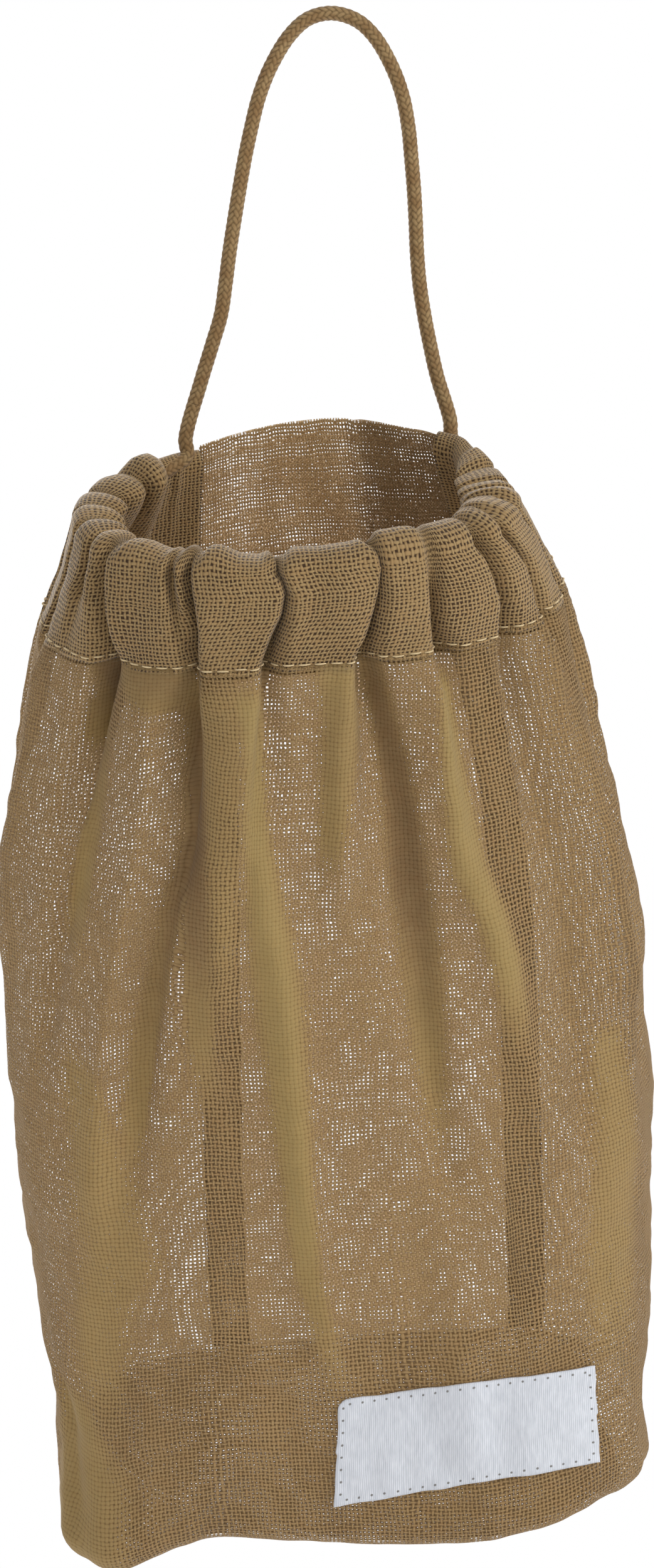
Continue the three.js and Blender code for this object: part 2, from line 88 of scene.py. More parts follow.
def to_row(points):
    """Points of the bag's frame, in metres in the row frame."""
    return in_row(points) * MM


def with_arrays(entries):
    """Entries that each end with a table, with that table as an array."""
    return [(*entry[:-1], np.array(entry[-1], float)) for entry in entries]


# Plan of the bag by depth: how far it reaches left, right, back and to the front, how square it is,
# and how far left and right its two side seams are
PLAN = np.array([
    (0, 57, 47, 5, 80, 2.2, 28, 28),
    (26, 67, 54, 4, 84, 2.3, 30, 31),
    (60, 76, 62, 4, 91, 2.4, 33, 38),
    (125, 83, 68, 4, 98, 2.7, 37, 44),
    (190, 82, 66, 3, 102, 3.2, 41, 43),
    (235, 80, 63, 2, 104, 4, 43, 42),
], float)
BAG_DEPTH = 235
BASE_FOLD = 7
BASE_SAG = 3
STITCH_DEPTH = 23.7
HEM_EDGE_DEPTH = 26
OUTER_EDGE_DEPTH = HEM_EDGE_DEPTH - 0.9
SEAM_ALLOWANCE = 9.5
SEAM_TOP = 27
SEAM_INSET = 0.5
SEAM_CLOTH = 0.7
BACK_HEM_TOP = 0.2
BACK_HEM_DEPTH = 29
BACK_HEM_GAP = 0.25
BACK_HEM_WEAVE = (1, 1.2)
BACK_ARCH = 3.5

# Cloth and its weave
CLOTH = 0.06
LAYER_GAP = 0.55
PITCH = 1.0
STITCH = 2.5
STITCH_PITCH = 3.6
STITCH_MARGINS = (3, 4.6)
STITCH_THREAD = 0.22
STITCH_ARCH, STITCH_SINK = 0.28, 0.02
STITCH_STRAY = 0.25
BINDING_THREAD = 0.32
THREAD_TIP = 0.06

# The cord, its channel in the casing, and the route of its free loop in the row frame
CORD_RADIUS = 1.75
CHANNEL_DEPTH = 3.5
CHANNEL_INSET = 3
SIDE_INSETS = (2, 5)
EXIT_INSET = 0.5
NEAR_EXIT = (0.016, 0.05)
ALONG_SIDE = ((0.045, 0.11), (0.24, 0.36))
EXIT_SPREAD = 62
EXIT_BEND = (-1.2, 2.2)
STRANDS = 8
BRAID_CELL = 1.6
BRAID_RELIEF = 0.2
CORD_STEP = 0.25
NECK = 8.3
BEND = 14
BINDING_REACH = 7
BINDING_TURNS = 22
BINDING_LIFT = 0.15
CHANNEL_SHARES = (0.5, 0.046)
CHANNEL_POINTS = 26
LOOP_ROUTE = [
    [-30.6, 0, -84], [-28, 0, -75.5], [-25.9, 0, -68.4], [-24.8, 0, -61], [-23.9, 0, -53.9],
    [-22.8, 0, -46.7], [-21.6, 0, -39.4], [-20.3, 0, -32], [-18.8, 0, -24.9], [-17, 0, -17.7],
    [-14.2, 0, -10.6], [-9.8, 0, -3.4], [-5.4, 0, 0.5], [0, 0, 1.75], [5.6, 0, 0.2],
    [9.8, 0, -3.5], [14, 0, -10.6], [16.6, 0, -17.8], [17.9, 0, -24.9], [18.6, 0, -32.2],
    [19.2, 0, -39.4], [19.6, 0, -46.6], [19.9, 0, -53.8], [20.5, 0, -61], [21.6, 0, -68.3],
    [23, 0, -75.5], [24.6, 0, -82.6],
]

# Creases that the cord gathers. At each the cloth on one side hangs over the other: on its left (1)
# or its right (-1). By depth: the overhanging edge's share of the way round, how far it hangs over,
# how deep the crease is, and how wide the rise out of it
CREASES = with_arrays([
    (1, [(0, 0.055, 0.3, 3, 5), (12, 0.055, 0.5, 4.5, 7), (26, 0.055, 0.2, 3.5, 8), (60, 0.055, 0, 0, 12)]),
    (1, [(0, 0.10, 0.5, 4, 5), (12, 0.105, 1.5, 6, 7), (26, 0.105, 0.5, 5, 8), (70, 0.11, 0, 0, 12)]),
    (-1, [(0, 0.155, 0.8, 4, 5), (12, 0.15, 2, 6.5, 7), (26, 0.155, 0.5, 5, 8), (70, 0.15, 0, 0, 12)]),
    (1, [(0, 0.20, 0.8, 4, 5), (12, 0.21, 2, 7, 7), (26, 0.205, 0.5, 5.5, 8), (80, 0.2, 0, 0, 12)]),
    (1, [(0, 0.25, 0.8, 4.5, 5), (10, 0.26, 2, 6.5, 7), (26, 0.255, 0.3, 4.5, 8), (70, 0.26, 0, 0, 12)]),
    (1, [(0, 0.298, 1.5, 4.5, 5), (7, 0.306, 2, 5, 6), (14, 0.308, 0.6, 2, 7), (24, 0.31, 0, 0.5, 8)]),
    (-1, [(0, 0.340, 1, 4.5, 5), (4, 0.338, 2, 5.5, 6), (10, 0.347, 3.2, 8, 8), (17, 0.358, 3.2, 8.5, 8),
          (24, 0.369, 1.8, 7.5, 8), (40, 0.366, 0.8, 5, 9), (80, 0.345, 0, 0, 12)]),
    (1, [(0, 0.396, 0.4, 3, 3.5), (5, 0.404, 1.1, 4, 4), (10, 0.411, 1, 3.5, 4.5), (17, 0.421, 0.2, 1.5, 5),
         (24, 0.43, 0, 0, 5)]),
    (-1, [(0, 0.424, 0.6, 4, 4), (4, 0.424, 1.5, 4.5, 4.5), (10, 0.429, 3.2, 6.5, 6),
          (16, 0.434, 4.2, 7, 7), (25, 0.440, 4.2, 6.5, 9), (40, 0.443, 2, 4.5, 10), (75, 0.44, 0, 0, 12)]),
    (1, [(0, 0.468, 0.6, 2.6, 3), (4, 0.485, 0.6, 2, 3), (7, 0.498, 0.2, 1, 3), (9, 0.505, 0, 0, 3)]),
    (1, [(0, 0.490, 1, 4, 4), (4, 0.502, 3, 5.5, 5), (8, 0.509, 4.6, 7.5, 7), (12.5, 0.507, 4.6, 8, 8),
         (17, 0.500, 3.6, 8, 8), (23, 0.492, 2.2, 6.5, 8), (45, 0.486, 0.8, 3.5, 10),
         (80, 0.48, 0, 0, 12)]),
    (1, [(0, 0.582, 2, 4, 4), (4, 0.592, 3.8, 5.5, 5), (9.6, 0.589, 4.6, 7.5, 7), (14, 0.584, 4.6, 8, 8),
         (19, 0.577, 3.4, 7.5, 8), (23, 0.568, 1.6, 6, 8), (45, 0.568, 0.4, 3, 10), (80, 0.56, 0, 0, 12)]),
    (1, [(0, 0.629, 0.3, 1.6, 4), (6, 0.630, 0.6, 2, 5), (12, 0.630, 1.3, 4, 5), (19.5, 0.630, 1.8, 5.5, 6),
         (24, 0.631, 1, 5, 7), (50, 0.635, 0.2, 1.5, 9), (70, 0.64, 0, 0, 12)]),
    (1, [(0, 0.672, 1, 4, 5), (7, 0.687, 2.6, 6, 6), (12, 0.691, 3.4, 7.5, 7), (16, 0.694, 3.4, 7.5, 7),
         (21, 0.691, 2, 6.5, 8), (26, 0.687, 1, 5, 8), (70, 0.69, 0, 0, 12)]),
    (1, [(0, 0.702, 1, 4, 5), (5.6, 0.718, 2, 5.5, 5), (12, 0.732, 2.6, 6.5, 7), (24, 0.736, 1, 5, 8),
         (75, 0.74, 0, 0, 12)]),
    (1, [(0, 0.748, 1, 4, 5), (7, 0.772, 2, 6, 6), (13, 0.783, 2.4, 6.5, 7), (24, 0.79, 1, 5, 8),
         (75, 0.8, 0, 0, 12)]),
    (1, [(0, 0.80, 0.8, 4, 5), (12, 0.826, 2.4, 6.5, 7), (26, 0.83, 0.6, 5, 8), (70, 0.83, 0, 0, 12)]),
    (-1, [(0, 0.85, 0.8, 4, 5), (12, 0.87, 2, 6, 7), (26, 0.872, 0.6, 5, 8), (70, 0.87, 0, 0, 12)]),
    (1, [(0, 0.90, 0.5, 4, 5), (12, 0.915, 1.5, 5.5, 7), (26, 0.912, 0.4, 4, 8), (60, 0.91, 0, 0, 12)]),
    (1, [(0, 0.952, 0.3, 3, 5), (12, 0.952, 0.5, 4, 7), (26, 0.95, 0.2, 3, 8), (55, 0.95, 0, 0, 12)]),
])

# Across a crease, from its overhanging edge: where the cloth starts to be drawn over, the lip, where
# the crease starts, and its bottom
DRAWN, LIP, CREASE_START, CREASE_BOTTOM = -9, -0.2, -1.1, 1.3

# How far in from its edge a crease takes up what its rows' lengths differ by, and how far to each side
TAKE_UP_AT, TAKE_UP_REACH = 1.5, 2.5

# Shares at which the casing's gathers part along the left inside of the mouth, and how much further
# in than usual the casing rolls along its right, by share
LEFT_GATHERS = (0.048, 0.09, 0.152, 0.205, 0.255, 0.3, 0.338)
RIGHT_ROLL = np.array([
    (0.72, 0), (0.75, 1), (0.8, 5.5), (0.84, 6), (0.87, 5.5), (0.9, 4.8), (0.93, 4.7), (0.955, 2.3),
    (0.975, 0),
])

# How far in the casing's inner layer stands where it is full, how much further at the left of one span
# of shares, and how much less at the right of the other
INNER_PUFF = 4.5
LEFT_PUFF, LEFT_SPAN = 2, (0.3, 0.36)
RIGHT_PUFF, RIGHT_SPAN = 3, (0.74, 0.8)

# The hem at the casing's left end: how long it is, how thick, how it eases out, and the ridge at its edge
END_HEM = 7.6
END_HEM_THICK = 0.8
END_HEM_EASE = (-0.8, 0.2)
END_HEM_RIDGE = {"high": 0.7, "before": 1, "wide": 0.8}

# How much narrower the bag hangs than its plan, at its left and its right: the share of the way round
# where it is narrowest, and by depth by how much
TRIMS = with_arrays([
    (0.21, [(0, 1.5), (13, 3), (26, 1.2), (60, 0.5), (125, 0.8), (160, 1), (190, 3.4), (203, 5.4),
            (215, 3.6), (228, 1)]),
    (0.86, [(0, 6.5), (13, 4.5), (26, 0.5), (50, 1.2), (68, 2), (85, 2), (105, 0.9), (125, 0.6),
            (160, 0.2), (190, 0.9), (203, 1.7), (217, 6.4), (228, 5.4)]),
])
TRIM_WIDTH = 0.09

# How high the rim stands between its puffs, how much higher on them, and by share how much more. By
# depth, how far the crests between the creases stand out
RIM_LOW, RIM_PUFF = -1.2, 2.0
RIM = np.array([
    (0, 0), (0.03, 0.6), (0.06, 1.4), (0.075, 0.8), (0.09, -1.2), (0.11, -0.6), (0.16, -1), (0.22, 0),
    (0.33, 0.3), (0.37, 0.4), (0.392, -1.4), (0.407, -0.3), (0.43, 0.5), (0.447, 0.6), (0.462, -1.1),
    (0.478, -1.8), (0.492, -0.8), (0.505, -0.3), (0.56, -0.5), (0.578, 0.6), (0.59, 1.4), (0.62, 1.4),
    (0.66, 0.6), (0.72, 0.3), (0.78, 0), (0.82, -1.4), (0.87, -3), (0.92, -2.6), (0.96, -0.8), (1, 0),
])
CREST = np.array([(0, 2.2), (3.5, 2.8), (8, 3.6), (13, 3.8), (20, 3.0), (26, 2.0), (45, 0.8), (70, 0)])

# How much of the crests is left at the sides, and the shares between which the cloth turns to the
# front and away from it again
SIDE_CREST = 0.35
FRONT_FROM, FRONT_TO = (0.24, 0.36), (0.68, 0.79)

# Soft folds of the body: how far out each stands, how wide it is, how far it leans round, and its way
# down as depth and share
FOLDS = with_arrays([
    (3.6, 6.0, 1.0, [(24, 0.465), (38, 0.465), (50, 0.463), (75, 0.462), (125, 0.46)]),
    (3.2, 4.5, 0.5, [(24, 0.492), (38, 0.483), (63, 0.489), (97, 0.506), (146, 0.51), (225, 0.52)]),
    (3.4, 4.5, 0.5, [(28, 0.629), (54, 0.629), (67, 0.633), (94, 0.655), (108, 0.661), (170, 0.68)]),
    (2.6, 3.4, -0.5, [(22, 0.563), (42, 0.555), (95, 0.55)]),
    (-4.0, 4.5, 0.0, [(24, 0.577), (46, 0.59), (75, 0.598), (112, 0.6), (175, 0.61)]),
    (-3.5, 4.0, 0.0, [(21, 0.38), (35, 0.359), (75, 0.335)]),
    (-4.5, 4.0, -1.5, [(27, 0.368), (45, 0.368), (61, 0.367), (75, 0.358), (92, 0.342), (140, 0.31)]),
    (-4.5, 4.0, 1.5, [(30, 0.436), (50, 0.444), (63, 0.441), (76, 0.425), (93, 0.414), (165, 0.385)]),
    (3.0, 3.5, 2.0, [(30, 0.40), (50, 0.405), (75, 0.395), (110, 0.375), (180, 0.36)]),
    (3.4, 4.0, 2.0, [(26, 0.735), (60, 0.75), (110, 0.755), (160, 0.75)]),
    (-3.0, 5.0, 0.0, [(28, 0.70), (60, 0.705), (120, 0.71), (190, 0.70)]),
    (-2.5, 5.0, 0.0, [(30, 0.25), (70, 0.245), (140, 0.24)]),
    (2.0, 4.0, -1.5, [(26, 0.28), (70, 0.285), (150, 0.27)]),
    (-3.0, 5.0, 0.0, [(28, 0.80), (80, 0.79), (160, 0.78)]),
    (-2.5, 6.0, 0.0, [(30, 0.91), (80, 0.9), (150, 0.91)]),
    (-2.5, 6.0, 0.0, [(30, 0.14), (80, 0.12), (150, 0.1)]),
    (-2.5, 3.5, -1.5, [(188, 0.30), (206, 0.322), (224, 0.337), (240, 0.345)]),
    (1.8, 5.0, 1.0, [(150, 0.60), (200, 0.60), (240, 0.61)]),
    (-1.3, 2.2, 0.0, [(1, 0.567), (10, 0.568), (24, 0.56)]),
    (0.9, 3.0, 1.0, [(0, 0.455), (12, 0.45), (26, 0.455)]),
    (-0.8, 3.0, 0.0, [(0, 0.54), (14, 0.535), (26, 0.54)]),
    (0.8, 3.0, 0.0, [(0, 0.65), (14, 0.66), (26, 0.655)]),
    (-0.9, 3.0, 0.0, [(0, 0.378), (14, 0.385), (26, 0.39)]),
])

# How a fold or a streak sets in round its first depth, and where it starts to fade towards its last
FOLD_FADE = {"before": 6, "after": 8, "hold": (0.45, 0.55)}
STREAK_FADE = {"before": 4, "after": 3, "hold": (0.3, 0.7)}

# Across a streak: the shares of half its width where it starts to fade and where it ends, and how much
# further out it ends
STREAK_EDGE = (0.4, 1.5, 0.8)

# The cloth's unevenness: how high its bumps are, how wide, and their seed. The small ones are all over
# the front, with their height at the rim first and then how much higher they are on the body
BODY_BUMPS = ((1.1, 21, 3), (0.35, 8, 5))
SMALL_BUMPS = (0.25, 0.1, 4, 6)
BACK_BUMPS = ((0.8, 16, 21), (0.25, 5, 22))
LABEL_BUMPS = ((0.25, 3, 31), (0.3, 5, 32))
RIM_BUMPS = (0.4, 6, 9)

# The lengths that the bumps of the rim and the back are laid over
RIM_LENGTH = 245
BACK_WIDTH = 80

# Depths between which the cloth leaves the cord, and between which the body's bumps set in. Beside the
# cord it keeps this softly clear. At the seams all of it sets in over a small share of the way round
CORD_DEPTHS = (6, 14)
BODY_DEPTHS = (20, 60)
FLOOR_EASE = 0.5
FRONT_EASE, BACK_EASE = 0.03, 0.1

# Streaks where the cloth lies double in a fold, which closes its weave and gets a painted highlight of
# lighter gold where it is not shaded, or lies in the shade of one, which is painted: how closed, and by
# depth the streak's share of the way round, half its width and how shaded it is
STREAKS = with_arrays([
    (1, [(29, 0.478, 2, 0), (43, 0.486, 2, 0), (57, 0.488, 2.5, 0), (71, 0.494, 3.2, 0),
         (85, 0.499, 4.2, 0), (100, 0.503, 4.6, 0), (115, 0.505, 4, 0), (145, 0.506, 2.8, 0),
         (165, 0.506, 2.4, 0), (205, 0.525, 2, 0)]),
    (1, [(31, 0.633, 1.5, 0), (47, 0.633, 2.2, 0), (61, 0.636, 3.2, 0), (73, 0.639, 3.6, 0),
         (83, 0.65, 3.2, 0), (95, 0.657, 3, 0), (120, 0.662, 2.2, 0)]),
    (0.8, [(25, 0.551, 3.5, 0), (37, 0.555, 3.5, 0.06), (51, 0.549, 3, 0.05), (75, 0.541, 2, 0)]),
    (1, [(24, 0.356, 1.6, 0.3), (37, 0.364, 2, 0.25), (51, 0.368, 2, 0.15), (62, 0.365, 2, 0.1),
         (73, 0.361, 2.2, 0.05), (95, 0.352, 3, 0)]),
    (0.9, [(24, 0.58, 1.5, 0.2), (30, 0.583, 1.8, 0.22), (45, 0.592, 2.6, 0.32), (59, 0.596, 3.2, 0.38),
           (74, 0.598, 4, 0.38), (88, 0.601, 4, 0.24), (103, 0.602, 3.6, 0.14), (118, 0.602, 3, 0.06),
           (145, 0.605, 2, 0)]),
    (0.9, [(26, 0.431, 1.6, 0.05), (43, 0.439, 2, 0.25), (56, 0.443, 2.2, 0.4), (71, 0.446, 2.5, 0.36),
           (85, 0.448, 2.6, 0.25), (99, 0.449, 2.4, 0.1), (130, 0.45, 2.2, 0)]),
    (0.8, [(60, 0.444, 2, 0.4), (73, 0.431, 2.2, 0.32), (85, 0.423, 2.4, 0.22), (97, 0.415, 2.4, 0.16),
           (109, 0.406, 2.4, 0.1), (121, 0.4, 2.2, 0.06), (150, 0.39, 2, 0)]),
    (1, [(22, 0.378, 3, 0.25), (28, 0.368, 2.2, 0.25), (35, 0.355, 2, 0.15), (48, 0.35, 1.5, 0)]),
    (1, [(22, 0.405, 9, 0.2), (28, 0.41, 7, 0.2), (35, 0.415, 4, 0.1)]),
    (0.4, [(28, 0.462, 3.5, 0), (45, 0.464, 5, 0), (75, 0.462, 5, 0), (92, 0.46, 4, 0),
           (108, 0.459, 2, 0)]),
    (0.5, [(115, 0.36, 3, 0), (146, 0.375, 8, 0), (162, 0.38, 9, 0), (178, 0.36, 7, 0), (210, 0.35, 6, 0)]),
    (0.8, [(196, 0.325, 6, 0.05), (212, 0.332, 12, 0.06), (260, 0.332, 12, 0.06)]),
    (0.5, [(120, 0.735, 3, 0), (150, 0.73, 6, 0), (172, 0.72, 8, 0), (205, 0.71, 6, 0)]),
])

# The bottom edge by share: how far it hangs below the base, and the ear at the front left
DROP = np.array([
    (0, 0), (0.2, 1.5), (0.28, 4.5), (0.325, 7.5), (0.36, 8), (0.386, 4.5), (0.42, 0.5), (0.48, 1.8),
    (0.53, 4.2), (0.6, 4.8), (0.66, 3), (0.69, 0.8), (0.73, 2), (0.8, 2), (0.86, 0.5), (1, 0),
])
EAR = {"at": 0.34, "out": 5, "wide": 13, "reach": 20}
DROP_TOP = 150

# On the back: a pucker beside the seam, and the shade of the casing's right end
PUCKER = {"in": 0.9, "at": 0.36, "wide": 0.016, "depths": (22, 34)}
CASING_SHADE = {"dark": 0.3, "shares": (0.33, 0.38), "depths": (25, 60)}

# The label, its corners as seen from in front, clockwise from its top left, and its stitches
LABEL_SIZE = (60, 25)
LABEL_CORNERS = [(2.7, -144.1), (62.3, -136.4), (63.4, -158.8), (1.8, -168.9)]
LABEL_THICKNESS = 0.5
LABEL_LIFT = 0.62
LABEL_CUT = 1.6
LABEL_SIDE = 1
LABEL_SEAM = 1.2
LABEL_STITCH = 2.9
LABEL_RIB = 0.44
LABEL_PICK = 0.3

# How the label's place on the cloth is found: from a row and a span of columns, in damped steps
LABEL_START = (0.85, 0.54, 0.14)
LABEL_STEPS = 30
LABEL_DAMPING = 0.7

# Counts of points along a curve, and of rows and columns of faces
DENSE = 2400
FRONT_COLUMNS = 270
BODY_ROWS = 170
CASING_COLUMNS = 420
CASING_ROWS = {"outer": 30, "over_cord": 15, "inner": 24}
BACK_COLUMNS = 78
BACK_ROWS = 200
HEM_COLUMNS = 60
HEM_ROWS = 26
BASE_ROWS = 60
SEAM_COLUMNS = 9
SEAM_ROWS = 150
FRONT_FOLD_ROWS = 8
BACK_FOLD_ROWS = 6
LABEL_COLUMNS = 100
LABEL_ROWS = 42
SEEN_CORD = {"skip": 1, "sides": 44}
HIDDEN_CORD = {"skip": 2, "sides": 20}
CORD_PATH_SKIP = 16
CURVE_PARTS = 40
STITCH_POINTS = 7
BINDING_PARTS = 12
THREAD_SIDES = 6


def smoothstep(low, high, x):
    """0 below low, 1 above high, and a smooth rise between them."""
    t = np.clip((x - low) / (high - low), 0, 1)
    return t * t * (3 - 2 * t)


def smooth_table(table, x, column=1):
    """The table's value at x, on a smooth curve through its rows, and flat beyond its ends."""
    places, values = table[:, 0], table[:, column]
    slopes = np.gradient(values, places)
    x = np.clip(x, places[0], places[-1])
    k = np.clip(np.searchsorted(places, x) - 1, 0, len(places) - 2)
    span = places[k + 1] - places[k]
    t = (x - places[k]) / span
    start = (1 + 2 * t) * (1 - t) ** 2 * values[k] + t * (1 - t) ** 2 * span * slopes[k]
    return start + t * t * (3 - 2 * t) * values[k + 1] + t * t * (t - 1) * span * slopes[k + 1]


def line_table(table, x, column=1):
    """The table's value at x, on straight lines between its rows."""
    return np.interp(x, table[:, 0], table[:, column])


def bump(x, width):
    """A smooth bump, 1 at its middle, that is gone about two widths from it."""
    return np.exp(-((x / width) ** 2))


def lobe(x, power):
    """A smooth lobe, 0 at 0 and at 1, and 1 midway. A low power makes it full."""
    return np.sin(math.pi * x) ** power


def way_along(line):
    """The way along a line to each of its points."""
    return np.concatenate([[0], np.cumsum(np.linalg.norm(np.diff(line, axis=0), axis=1))])


def resampled(line, way, places):
    """A line's points at places on the way along it."""
    return np.stack([np.interp(places, way, values) for values in line.T], -1)


def lattice_noise(x, y, cell, seed):
    """Smooth noise from -1 to 1 with bumps about two cells wide."""
    values = np.random.default_rng(seed).uniform(-1, 1, (64, 64))
    gx, gy = np.asarray(x) / cell % 62, np.asarray(y) / cell % 62
    ix, iy = gx.astype(int), gy.astype(int)
    fx, fy = smoothstep(0, 1, gx - ix), smoothstep(0, 1, gy - iy)
    low = values[ix, iy] * (1 - fx) + values[ix + 1, iy] * fx
    high = values[ix, iy + 1] * (1 - fx) + values[ix + 1, iy + 1] * fx
    return low * (1 - fy) + high * fy


class Arc:
    """The curve of the front or the back cloth at one depth, seam to seam, anticlockwise from above."""

    def __init__(self, side, depth):
        left, right, rear, front, square, seam_left, seam_right = (
            smooth_table(PLAN, depth, column) for column in range(1, 8))
        centre = np.array([(right - left) / 2, (rear - front) / 2])
        half = np.array([(left + right) / 2, (rear + front) / 2])

        def seam_angle(u):
            share = (u - centre[0]) / half[0]
            return math.acos(math.copysign(abs(share) ** (square / 2), share))

        start, end = seam_angle(-seam_left), seam_angle(seam_right)
        ends = (start, end + 2 * math.pi) if side == "front" else (end, start)
        angles = np.linspace(*ends, DENSE)
        turn = np.stack([np.cos(angles), np.sin(angles)], 1)
        self.points = centre + half * np.sign(turn) * np.abs(turn) ** (2 / square)
        way = way_along(self.points)
        self.length = way[-1]
        self.shares = way / way[-1]
        tangents = np.gradient(self.points, way, axis=0)
        self.tangents = tangents / np.linalg.norm(tangents, axis=1, keepdims=True)

    def at(self, shares):
        """Points, tangents and outward directions at shares of the way round."""
        place = resampled(self.points, self.shares, shares)
        tangent = resampled(self.tangents, self.shares, shares)
        tangent /= np.linalg.norm(tangent, axis=-1, keepdims=True)
        return place, tangent, np.stack([tangent[..., 1], -tangent[..., 0]], -1)


arcs = {}


def arc_at(side, depth):
    """The arc of one side at a depth, made once."""
    key = side, round(float(depth), 4)
    if key not in arcs:
        arcs[key] = Arc(side, depth)
    return arcs[key]


def cord_inset(share):
    """How far the cord lies inside the plan. At the exits it comes nearly out to it."""
    from_exit = np.minimum(share, 1 - share)
    near_exit = 1 - smoothstep(*NEAR_EXIT, from_exit)
    at_side = smoothstep(*ALONG_SIDE[0], from_exit) * (1 - smoothstep(*ALONG_SIDE[1], from_exit))
    side_inset = np.where(np.asarray(share) < 0.5, SIDE_INSETS[0], SIDE_INSETS[1])
    return CHANNEL_INSET + side_inset * at_side - (CHANNEL_INSET - EXIT_INSET) * near_exit


def soft_floor(value, floor):
    """value, kept smoothly above floor."""
    above = value - floor
    return floor + (above + np.sqrt(above * above + FLOOR_EASE * FLOOR_EASE)) / 2


def facing_front(shares):
    """1 where the front cloth faces the front, 0 where it faces the sides or the back."""
    return smoothstep(*FRONT_FROM, shares) * (1 - smoothstep(*FRONT_TO, shares))


def fade_along(way, depth, before, after, hold):
    """How much there is of a fold or a streak at a depth, from 0 to 1."""
    first, last = way[0, 0], way[-1, 0]
    fading = 1 - smoothstep(hold[0] * first + hold[1] * last, last, depth)
    return smoothstep(first - before, first + after, depth) * fading


def front_offsets(depth, shares, trimmed=True):
    """How far the front cloth stands out from its plan, and how far it is moved round it."""
    length = arc_at("front", depth).length
    out = (SIDE_CREST + (1 - SIDE_CREST) * facing_front(shares)) * smooth_table(CREST, depth)
    for middle, table in TRIMS if trimmed else ():
        out -= smooth_table(table, depth) * bump(shares - middle, TRIM_WIDTH)
    round_it = np.zeros_like(shares)
    for side, way in CREASES:
        if depth >= way[-1, 0]:
            continue
        edge, overhang, deep, rise = (line_table(way, depth, k) for k in range(1, 5))
        x = side * (shares - edge) * length + overhang
        drawn = smoothstep(DRAWN, LIP, x) * (1 - smoothstep(LIP, CREASE_BOTTOM, x))
        round_it += side * overhang * drawn
        sunk = smoothstep(CREASE_START, CREASE_BOTTOM, x) * (1 - smoothstep(CREASE_BOTTOM, rise, x))
        out -= deep * sunk
    for amount, wide, lean, way in FOLDS:
        fade = fade_along(way, depth, **FOLD_FADE)
        if fade > 0:
            fold = bump((shares - line_table(way, depth)) * length, wide)
            out += amount * fade * fold
            round_it += lean * fade * fold
    ear = bump((shares - EAR["at"]) * length, EAR["wide"])
    out += EAR["out"] * ear * bump(depth - BAG_DEPTH, EAR["reach"])
    body = smoothstep(*BODY_DEPTHS, depth)
    way_round = shares * length
    for height, cell, seed in BODY_BUMPS:
        out += body * height * lattice_noise(way_round, depth, cell, seed)
    at_rim, more, cell, seed = SMALL_BUMPS
    out += (at_rim + more * body) * lattice_noise(way_round, depth, cell, seed)
    near_cord = 1 - smoothstep(*CORD_DEPTHS, depth)
    floor = -cord_inset(shares) + CORD_RADIUS + CLOTH
    out = near_cord * soft_floor(out, floor) + (1 - near_cord) * out
    ends = smoothstep(0, FRONT_EASE, np.minimum(shares, 1 - shares))
    return out * (ends if depth > CORD_DEPTHS[1] else np.maximum(ends, near_cord)), round_it * ends


def streak_marks(depth, shares):
    """How closed the front cloth's weave is, which also gives it a painted gold highlight, and how much
    painted shade it has, from 0 to 1.
    """
    length = arc_at("front", depth).length
    closed, shaded = np.zeros_like(shares), np.zeros_like(shares)
    for strength, way in STREAKS:
        share, half, dark = (line_table(way, depth, k) for k in (1, 2, 3))
        x = np.abs(shares - share) * length
        start, end, more = STREAK_EDGE
        mark = 1 - smoothstep(start * half, end * half + more, x)
        mark = fade_along(way, depth, **STREAK_FADE) * mark
        closed = np.maximum(closed, mark * strength)
        shaded = np.maximum(shaded, mark * dark)
    return closed, shaded


def puffs(shares):
    """How full the casing is between its gathers, from 0 to 1."""
    full = smoothstep(-4, 1.2 + 2.4 * facing_front(shares), front_offsets(8, shares, False)[0])
    for low, high in zip(LEFT_GATHERS, LEFT_GATHERS[1:]):
        t = (shares - low) / (high - low)
        full = np.where((t > 0) & (t < 1), lobe(np.clip(t, 0, 1), 0.5), full)
    return np.where(shares < LEFT_GATHERS[0], 0, full)


def inner_face(shares):
    """How far inside the plan the casing's inner layer is beside the cord."""
    from_left = shares * arc_at("front", 0).length
    ease_start, ease_end = END_HEM_EASE
    end_hem = END_HEM_THICK * (1 - smoothstep(END_HEM + ease_start, END_HEM + ease_end, from_left))
    ridge = bump(from_left - END_HEM + END_HEM_RIDGE["before"], END_HEM_RIDGE["wide"])
    end_hem += END_HEM_RIDGE["high"] * ridge
    at_left = 1 - smoothstep(*LEFT_SPAN, shares)
    reach = INNER_PUFF + LEFT_PUFF * at_left - RIGHT_PUFF * smoothstep(*RIGHT_SPAN, shares)
    roll = line_table(RIGHT_ROLL, shares)
    return cord_inset(shares) + CORD_RADIUS + CLOTH + end_hem + roll + reach * puffs(shares)


def front_row(depth, count):
    """The front cloth at one depth, as points evenly spaced along it, and their shares of its way."""
    shares = np.linspace(0, 1, DENSE)
    place, tangent, outward = arc_at("front", depth).at(shares)
    out, round_it = front_offsets(depth, shares)
    line = place + outward * out[:, None] + tangent * round_it[:, None]
    way = way_along(line)
    even = np.linspace(0, way[-1], count + 1)
    return resampled(line, way, even), np.interp(even, way, shares)


def grid_normals(grid):
    """Directions straight out of a grid, at each of its points."""
    normals = np.cross(np.gradient(grid, axis=0), np.gradient(grid, axis=1))
    return normals / np.maximum(np.linalg.norm(normals, axis=-1, keepdims=True), 1e-9)


